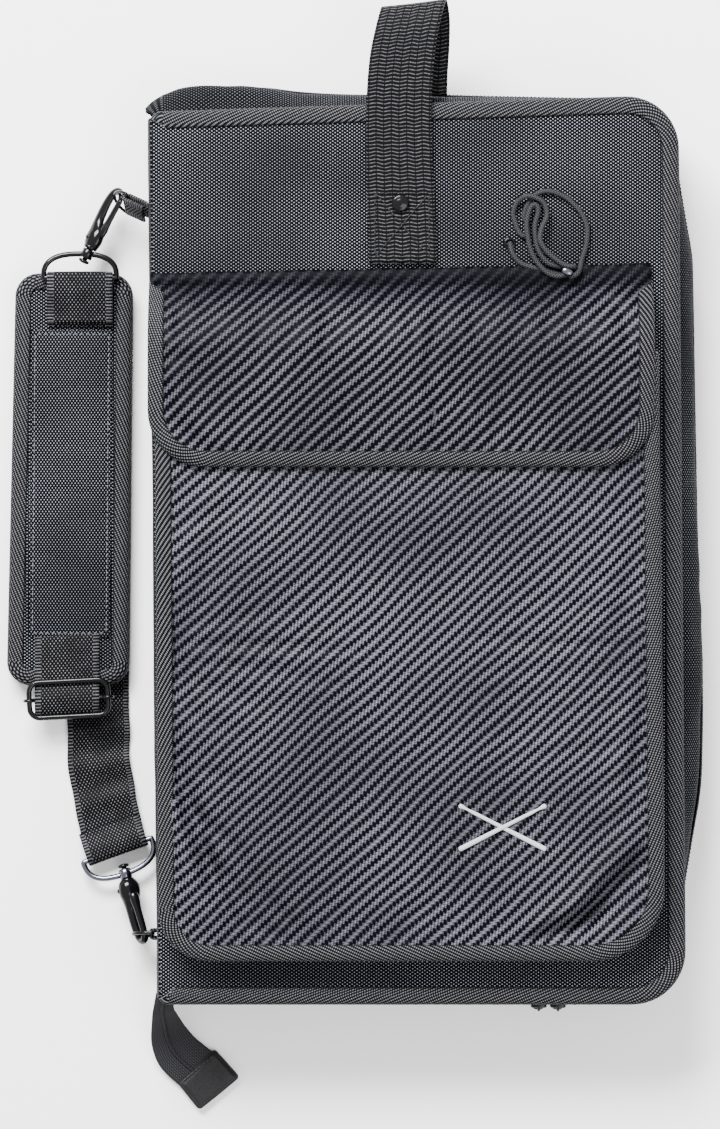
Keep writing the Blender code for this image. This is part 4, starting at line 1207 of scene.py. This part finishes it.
def shoulder_pad():
    edge = outline(PAD, PAD_RADII, 1.2)

    def top(x, y, inside):
        return 13.1 + pad_swell(x, y) * fade(inside, 6, 16) - 1.2 * hump(inside, 0, 4)

    pad = slab(edge, PAD_CENTRE, top, rolled(1.3, 1.2, 5), rings=60, bulge=0.6).make(
        "shoulder_pad_cloth", WEAVE, "back", "shoulder_pad")
    profile = [
        (8.2, 12.9), (8.3, 13.5), (7.4, 14), (4.6, 14.4), (2.2, 14.1), (0.4, 13), (-0.6, 11), (-0.9, 7.8),
        (-0.6, 4.6), (0.4, 2.4), (2.4, 1.1), (6, 0.8), (6, 1.4), (2.8, 1.8), (1, 4), (0.6, 8), (1, 11),
        (2.8, 12.8),
    ]
    edging(PAD, PAD_RADII, profile).make("shoulder_pad_tape", TAPE, "back", "pad_binding")
    patch = outline(PATCH, (1.2,) * 4, step=3, arc=5)

    def patch_top(x, y, inside):
        return (14.15 + pad_swell(x, y) + 0.5 * fade(inside, 1, 12) - 0.35 * hump(inside, 2.2, 0.8)
                - 0.5 * hump(inside, 0, 0.7))

    def patch_under(x, y, inside):
        return 13 + pad_swell(x, y)

    slab(patch, (-155.6, 42.1), patch_top, patch_under, rings=60, sides=2).make(
        "pad_patch_cloth", PATCH_WEAVE, "back", "pad_centre_panel")
    seams = Piece()
    corners = outline(PATCH, (1.2,) * 4, 2.2, step=400, arc=1)
    for start, end in zip(corners, np.roll(corners, -1, axis=0)):
        if np.linalg.norm(end - start) > 10:
            for a in spread(np.array([start, end]), 3.1)[:-1]:
                dots = np.array([a + unit(end - start) * t for t in (0.3, 1.2, 2.1)])
                z = 13.95 + pad_swell(dots[:, 0], dots[:, 1]) + np.array((0, 0.14, 0))
                add_tube(seams, np.column_stack([dots, z]), 0.24, sides=6, cap=False)
    seams.make("pad_patch_stitches", PALE_GREY_THREAD, "back")


def hairpin(radius, leg, back_leg, drop):
    """Offsets outwards and up of webbing that comes in under a bar, turns round it and is sewn down above."""
    turn = [(radius * math.sin(a), -radius * math.cos(a)) for a in np.linspace(0, math.pi, 15)]
    course = ((0.3, 0), (0.55, 0.45), (0.8, 0.9), (1, 1))
    sewn = ((-back_leg * along, radius - down * drop) for along, down in course)
    return [(-leg, -radius), (-leg * 0.5, -radius), *turn, *sewn]


def eye_frame(eye):
    bar, along, out = np.array(eye["bar"]), unit(eye["along"]), unit(eye["out"])
    up = np.cross(along, out)
    return bar, along, out, up * np.sign(up[2]), bar + along * eye["boss"][0] + out * eye["boss"][1]


# The two ends of the strap: each eye's bar and boss, and how each ring lies in its hook
UPPER_EYE = {"bar": (-150.3, 153.6, 17.7), "along": (1, 0, 0), "out": (0, 1, 0), "boss": (4, 13)}
LOWER_EYE = {"bar": (-130.6, -157.5, 7.5), "along": (0.94, 0.34, 0), "out": (0.34, -0.94, 0.12), "boss": (0, 13.6)}
UPPER_RING = {"out": (0.72, -0.36, 0.6), "span": (0.14, -0.75, -0.64), "reach": (11, 0), "leg": 13.5,
              "at": 33.8, "off": -0.1, "wire": 0.86, "width": 10.5}
LOWER_RING = {"out": (1, 0, 0), "span": (0, 0.2, 0.98), "reach": (6.5, 5.8), "leg": 2.4,
              "at": 35, "off": 0.7, "wire": 0.98, "width": 9}
UPPER_HOOK = ((18.1, 36.2, 2), 37)
LOWER_HOOK = ((10.5, -38.6, 7.5), 120)
STRAP_RADIUS = 2.55


def strap_webbing():
    bar, along, out, up, _ = eye_frame(UPPER_EYE)
    offsets = spread(flowing(hairpin(STRAP_RADIUS, 26, 24, 3), 3), 1.2)
    path = bar + offsets[:, :1] * out + offsets[:, 1:] * up
    band(path, along, 35.4, 1.5, columns=25, crown=0.3).make(
        "upper_strap_loop", STRAP_WEBBING, "back", "upper_pad_tab")
    route = (
        (-40.5, 14.9), (-47, 15.3), (-57, 15.3), (-64.6, 15.5), (-69.6, 17), (-74.7, 18), (-79.4, 16.9),
        (-82.9, 14.9), (-83.7, 12.6), (-81.4, 10.2), (-76, 8.8),
    )
    points = spread(flowing([(-157.4, y, z) for y, z in route], 6), 1.2)
    band(points, (1, 0.05, 0), 35, 1.5, columns=25, crown=0.25).make(
        "lower_strap_loop", STRAP_WEBBING, "back", "lower_pad_tab")
    bar, along, out, up, _ = eye_frame(LOWER_EYE)
    offsets = np.array(hairpin(STRAP_RADIUS, 9, 15, 3.3)[1:])
    turn = bar + offsets[:, :1] * out + offsets[:, 1:] * up
    approach = ((-141.6, -60, 1.3), (-141.6, -75, 1.3), (-141.2, -97.2, 1.3), (-139.6, -118.9, 1.6),
                (-135.8, -138, 3.2))
    points = spread(flowing([*approach, *turn], 6), 1.2)
    loose = fade(-points[:, 1], 78, 92) * (1 - fade(-points[:, 1], 128, 142))
    points[:, 2] += loose * (0.9 + 0.9 * np.sin(points[:, 1] / 3.1))
    points[:, 0] += loose * 0.5 * np.sin(points[:, 1] / 5.3)
    share = fade(-points[:, 1], 75, 150)[:, None]
    across = np.array((1, 0, 0)) * (1 - share) + along * share
    band(points, across, 34, 1.5, columns=25, crown=0.2).make(
        "adjusting_strap", STRAP_WEBBING, "back", "adjusting_webbing")


def adjuster():
    """A wire frame, and a bar whose ends are curled round the frame's sides."""
    centre, lean = np.array((-156.4, -74.7, 18.4)), math.radians(3)
    corners = ((-21.4, -9.6), (21.4, -9.6), (21.4, 9.6), (-21.4, 9.6))
    flat = outline(corners, (5.5,) * 4, step=3)
    swing = np.array(((math.cos(lean), math.sin(lean)), (-math.sin(lean), math.cos(lean))))
    path = np.column_stack([flat @ swing, np.zeros(len(flat))]) + centre
    tube("adjuster_wire", path, 1.5, BLACK_METAL, "back", "adjuster_frame", closed=True, sides=18)
    piece = Piece()
    way = np.array((math.cos(lean), math.sin(lean), 0))
    ends = [centre + way * x + np.array((0, 0, -2.8)) for x in (-19.4, -8, 8, 19.4)]
    add_tube(piece, np.array(ends), 1.25, sides=14)
    for side in (-21.4, 21.4):
        middle = centre + way * side
        curl = [middle + way * 2.45 * math.cos(a) + np.array((0, 0, 2.45 * math.sin(a))) for a in circle(28)]
        add_tube(piece, np.array(curl), 0.95, sides=10, closed=True)
    piece.make("adjuster_slide", BLACK_METAL, "back", "adjuster_bar")


def strap_eye(name, eye, aim, finish):
    """A bar for the strap, an arch round it, and the boss that the hook turns in."""
    bar, along, out, up, boss = eye_frame(eye)
    depth = eye["boss"][1]
    arch = []
    for angle in np.linspace(0, math.pi, 49):
        x = 19.8 * math.copysign(abs(math.cos(angle)) ** 0.8, math.cos(angle))
        arch.append(bar + along * x + out * depth * math.sin(angle) ** 0.7)
    straight = np.linspace(arch[-1], arch[0], 16)[1:]
    piece = Piece()
    add_tube(piece, spread(np.concatenate([arch, straight]), 1)[:-1], 1.55, sides=14, closed=True, up=tuple(up))
    wall = [(-2.6, 1.8), (-2.6, 3), (-2.3, 3.35), (2.3, 3.35), (2.6, 3), (2.6, 1.8), (-2.6, 1.8)]
    turned(piece, boss, aim, wall)
    piece.make(f"{name}_strap_eye", finish, "back", f"{name}_eye")


def hook_axes(aim, roll):
    """Directions along the hook, across its mouth and through it."""
    forward = Vector(aim).normalized()
    level = forward.cross(Vector((0, 0, 1))).normalized()
    across = Matrix.Rotation(math.radians(roll), 3, forward) @ level
    if across.z < 0:
        across = Matrix.Rotation(math.radians(-roll), 3, forward) @ level
    return np.array(forward), np.array(across), np.array(forward.cross(across))


HOOK = (
    (2.9, 0, 2.2), (4, 0, 3.9), (6, -0.1, 4.9), (9, -0.3, 5.3), (12, -0.9, 5), (15, -2, 4),
    (18, -2.9, 3.2), (21, -3.3, 2.9), (25, -3.5, 2.75), (29, -3.5, 2.6), (33, -3.1, 2.4), (35.6, -2.4, 2.2),
    (37.4, -1, 2.05), (37.9, 0.8, 1.95), (37, 3, 1.85), (34.6, 4.2, 1.7),
)


def snap_hook(name, eye, aim, roll, depth):
    """A swivel snap hook: headed stem, cast body with a curved nose, and a sprung gate."""
    boss = eye_frame(eye)[4]
    forward, across, through = hook_axes(aim, roll)
    body = Piece()
    stations = flowing(HOOK, 5)
    path = boss + stations[:, :1] * forward + stations[:, 1:2] * across
    add_tube(body, path, stations[:, 2], sides=24, flatten=depth, up=tuple(through))
    head = [(-3.5, 0), (-3.5, 2.4), (-3.7, 3), (-4.6, 3.05), (-5.2, 2.5), (-5.5, 1.4), (-5.6, 0)]
    turned(body, boss, forward, head)
    turned(body, boss, forward, [(-4.4, 0), (-4.4, 1.4), (4.2, 1.4), (4.2, 0)])
    turned(body, boss, forward, [(2.9, 0), (2.9, 3.3), (3.4, 3.8), (4.4, 3.9), (5, 3.4), (5, 0)])
    for side in (-1, 1):
        pin = boss + forward * 8.6 - across * 2.3 + through * (side * 4.9 * depth)
        turned(body, pin, through * side, [(-1.5, 0), (-1.5, 1.25), (0.1, 1.25), (0.5, 0.9), (0.55, 0)], sides=18)
    body.make(f"{name}_hook_casting", BLACK_METAL, f"{name}_hook", f"{name}_hook_body")
    gate = Piece()
    start, end = (boss + forward * u + across * v for u, v in ((12.5, 3), (33.4, 4.3)))
    line = np.linspace(start, end, 22)
    share = np.linspace(0, 1, 22)
    radii = 2 + 0.5 * hump(share, 0.12, 0.16) - 0.35 * share
    add_tube(gate, line, radii, sides=18, flatten=depth, up=tuple(through))
    gate.make(f"{name}_gate_lever", BLACK_METAL, f"{name}_gate", f"{name}_hook_gate")


def ring_and_tab(name, eye, aim, roll, ring):
    """A D ring that hangs in the hook, and the sewn tab that its straight side turns in."""
    boss = eye_frame(eye)[4]
    forward, across, _ = hook_axes(aim, roll)
    crossing = boss + forward * ring["at"] + across * ring["off"]
    out, span = unit(ring["out"]), np.array(ring["span"])
    span = unit(span - out * (span @ out))
    bar = crossing + out * ring["reach"][0] + span * ring["reach"][1]
    half_turn = np.linspace(0, math.pi, 41)
    loop = np.array([bar + span * 7 * math.cos(a) - out * 11 * math.sin(a) ** 0.8 for a in half_turn])
    closing = np.linspace(loop[-1], loop[0], 14)[1:]
    wire = spread(np.concatenate([loop, closing]), 0.8)[:-1]
    tube(f"{name}_d_ring", wire, ring["wire"], BLACK_METAL, f"{name}_ring", f"{name}_ring", closed=True, sides=14)
    radius, side = 2.05, np.cross(span, out)
    turn = [(radius * math.sin(a), -radius * math.cos(a)) for a in np.linspace(0, math.pi, 13)]
    offsets = spread(np.array([(-ring["leg"], -radius), *turn, (-ring["leg"], radius)]), 0.7)
    path = bar - out * offsets[:, :1] + side * offsets[:, 1:]
    band(path, span, ring["width"], 1.4, columns=9).make(
        f"{name}_tab_webbing", TAB_WEBBING, "back", f"{name}_ring_tab")


def shoulder_strap():
    shoulder_pad()
    strap_webbing()
    adjuster()
    for name, eye, hook, ring, finish, depth in (
        ("upper", UPPER_EYE, UPPER_HOOK, UPPER_RING, BLACK_METAL, 0.75),
        ("lower", LOWER_EYE, LOWER_HOOK, LOWER_RING, GREY_METAL, 1.15),
    ):
        strap_eye(name, eye, hook[0], finish)
        snap_hook(name, eye, *hook, depth)
        ring_and_tab(name, eye, *hook, ring)


# The inside


def lining(side, low, high):
    edge = outline(COVER, COVER_RADII, 8)
    top, under = (rippled(level, 0.1, 30, 91) for level in (high, low))
    cloth = slab(edge, COVER_CENTRE, top, under, rings=40, sides=2).make(
        f"{side}_lining_cloth", LINING, side, f"{side}_lining")


CHANNELS_LEFT, CHANNELS_FOOT = -92, -222


def stick_channels(side, width, count, high, seam, rise, low, top):
    """Cloth sewn down between the channels and arched over each, with a bound mouth and a sewn foot."""
    us = np.linspace(0, 1, 36 * count + 1)
    ys = np.linspace(CHANNELS_FOOT, high, 60)
    u, y = np.meshgrid(us, ys, indexing="ij")
    x = CHANNELS_LEFT + u * width * count
    arch = np.abs(np.sin(math.pi * count * u)) ** 0.8
    slack = 1 + 0.1 * ripple(u * width * count, y, 55, 95)
    foot = 0.35 + 0.65 * fade(y, CHANNELS_FOOT, -196)
    z = seam + rise * arch * foot * np.minimum(slack, 1.08)
    drop = lengths_along(np.column_stack([x[:, -1], z[:, -1]]))
    cloth = Piece().shell(np.dstack([x, y, z]), strip_map(drop, ys), 1.2).make(
        f"{side}_pocket_cloth", LINING, side, f"{side}_stick_pocket")
    mouth = np.column_stack([x[:, -1], np.full(len(x), high), z[:, -1]])
    tube(f"{side}_mouth_tape", mouth, 1.5, TAPE, side, sides=10)
    right = CHANNELS_LEFT + width * count
    corners = ((CHANNELS_LEFT, -226), (right, -226), (right, -222.8), (CHANNELS_LEFT, -222.8))
    edge = outline(corners, (0.9,) * 4, step=6, arc=4)
    centre = (CHANNELS_LEFT + width * count / 2, -224.4)
    slab(edge, centre, rippled(top, 0.3, 25, 97), low, rings=6, sides=3).make(
        f"{side}_hem_tape", TAPE, side, f"{side}_pocket_hem")


studio()
hanging_cord()
front_cover()
back_cover()
walls()
spine()
pocket()
flap()
handle()
zip_sliders()
zip_tail()
shoulder_strap()
lining("back", 6.3, 7.5)
stick_channels("back", 60, 4, 70, 8.6, 13, 7.8, 19)
lining("front", 52.3, 53.5)
stick_channels("front", 80, 3, 30, 51.2, -10, 42.5, 52)
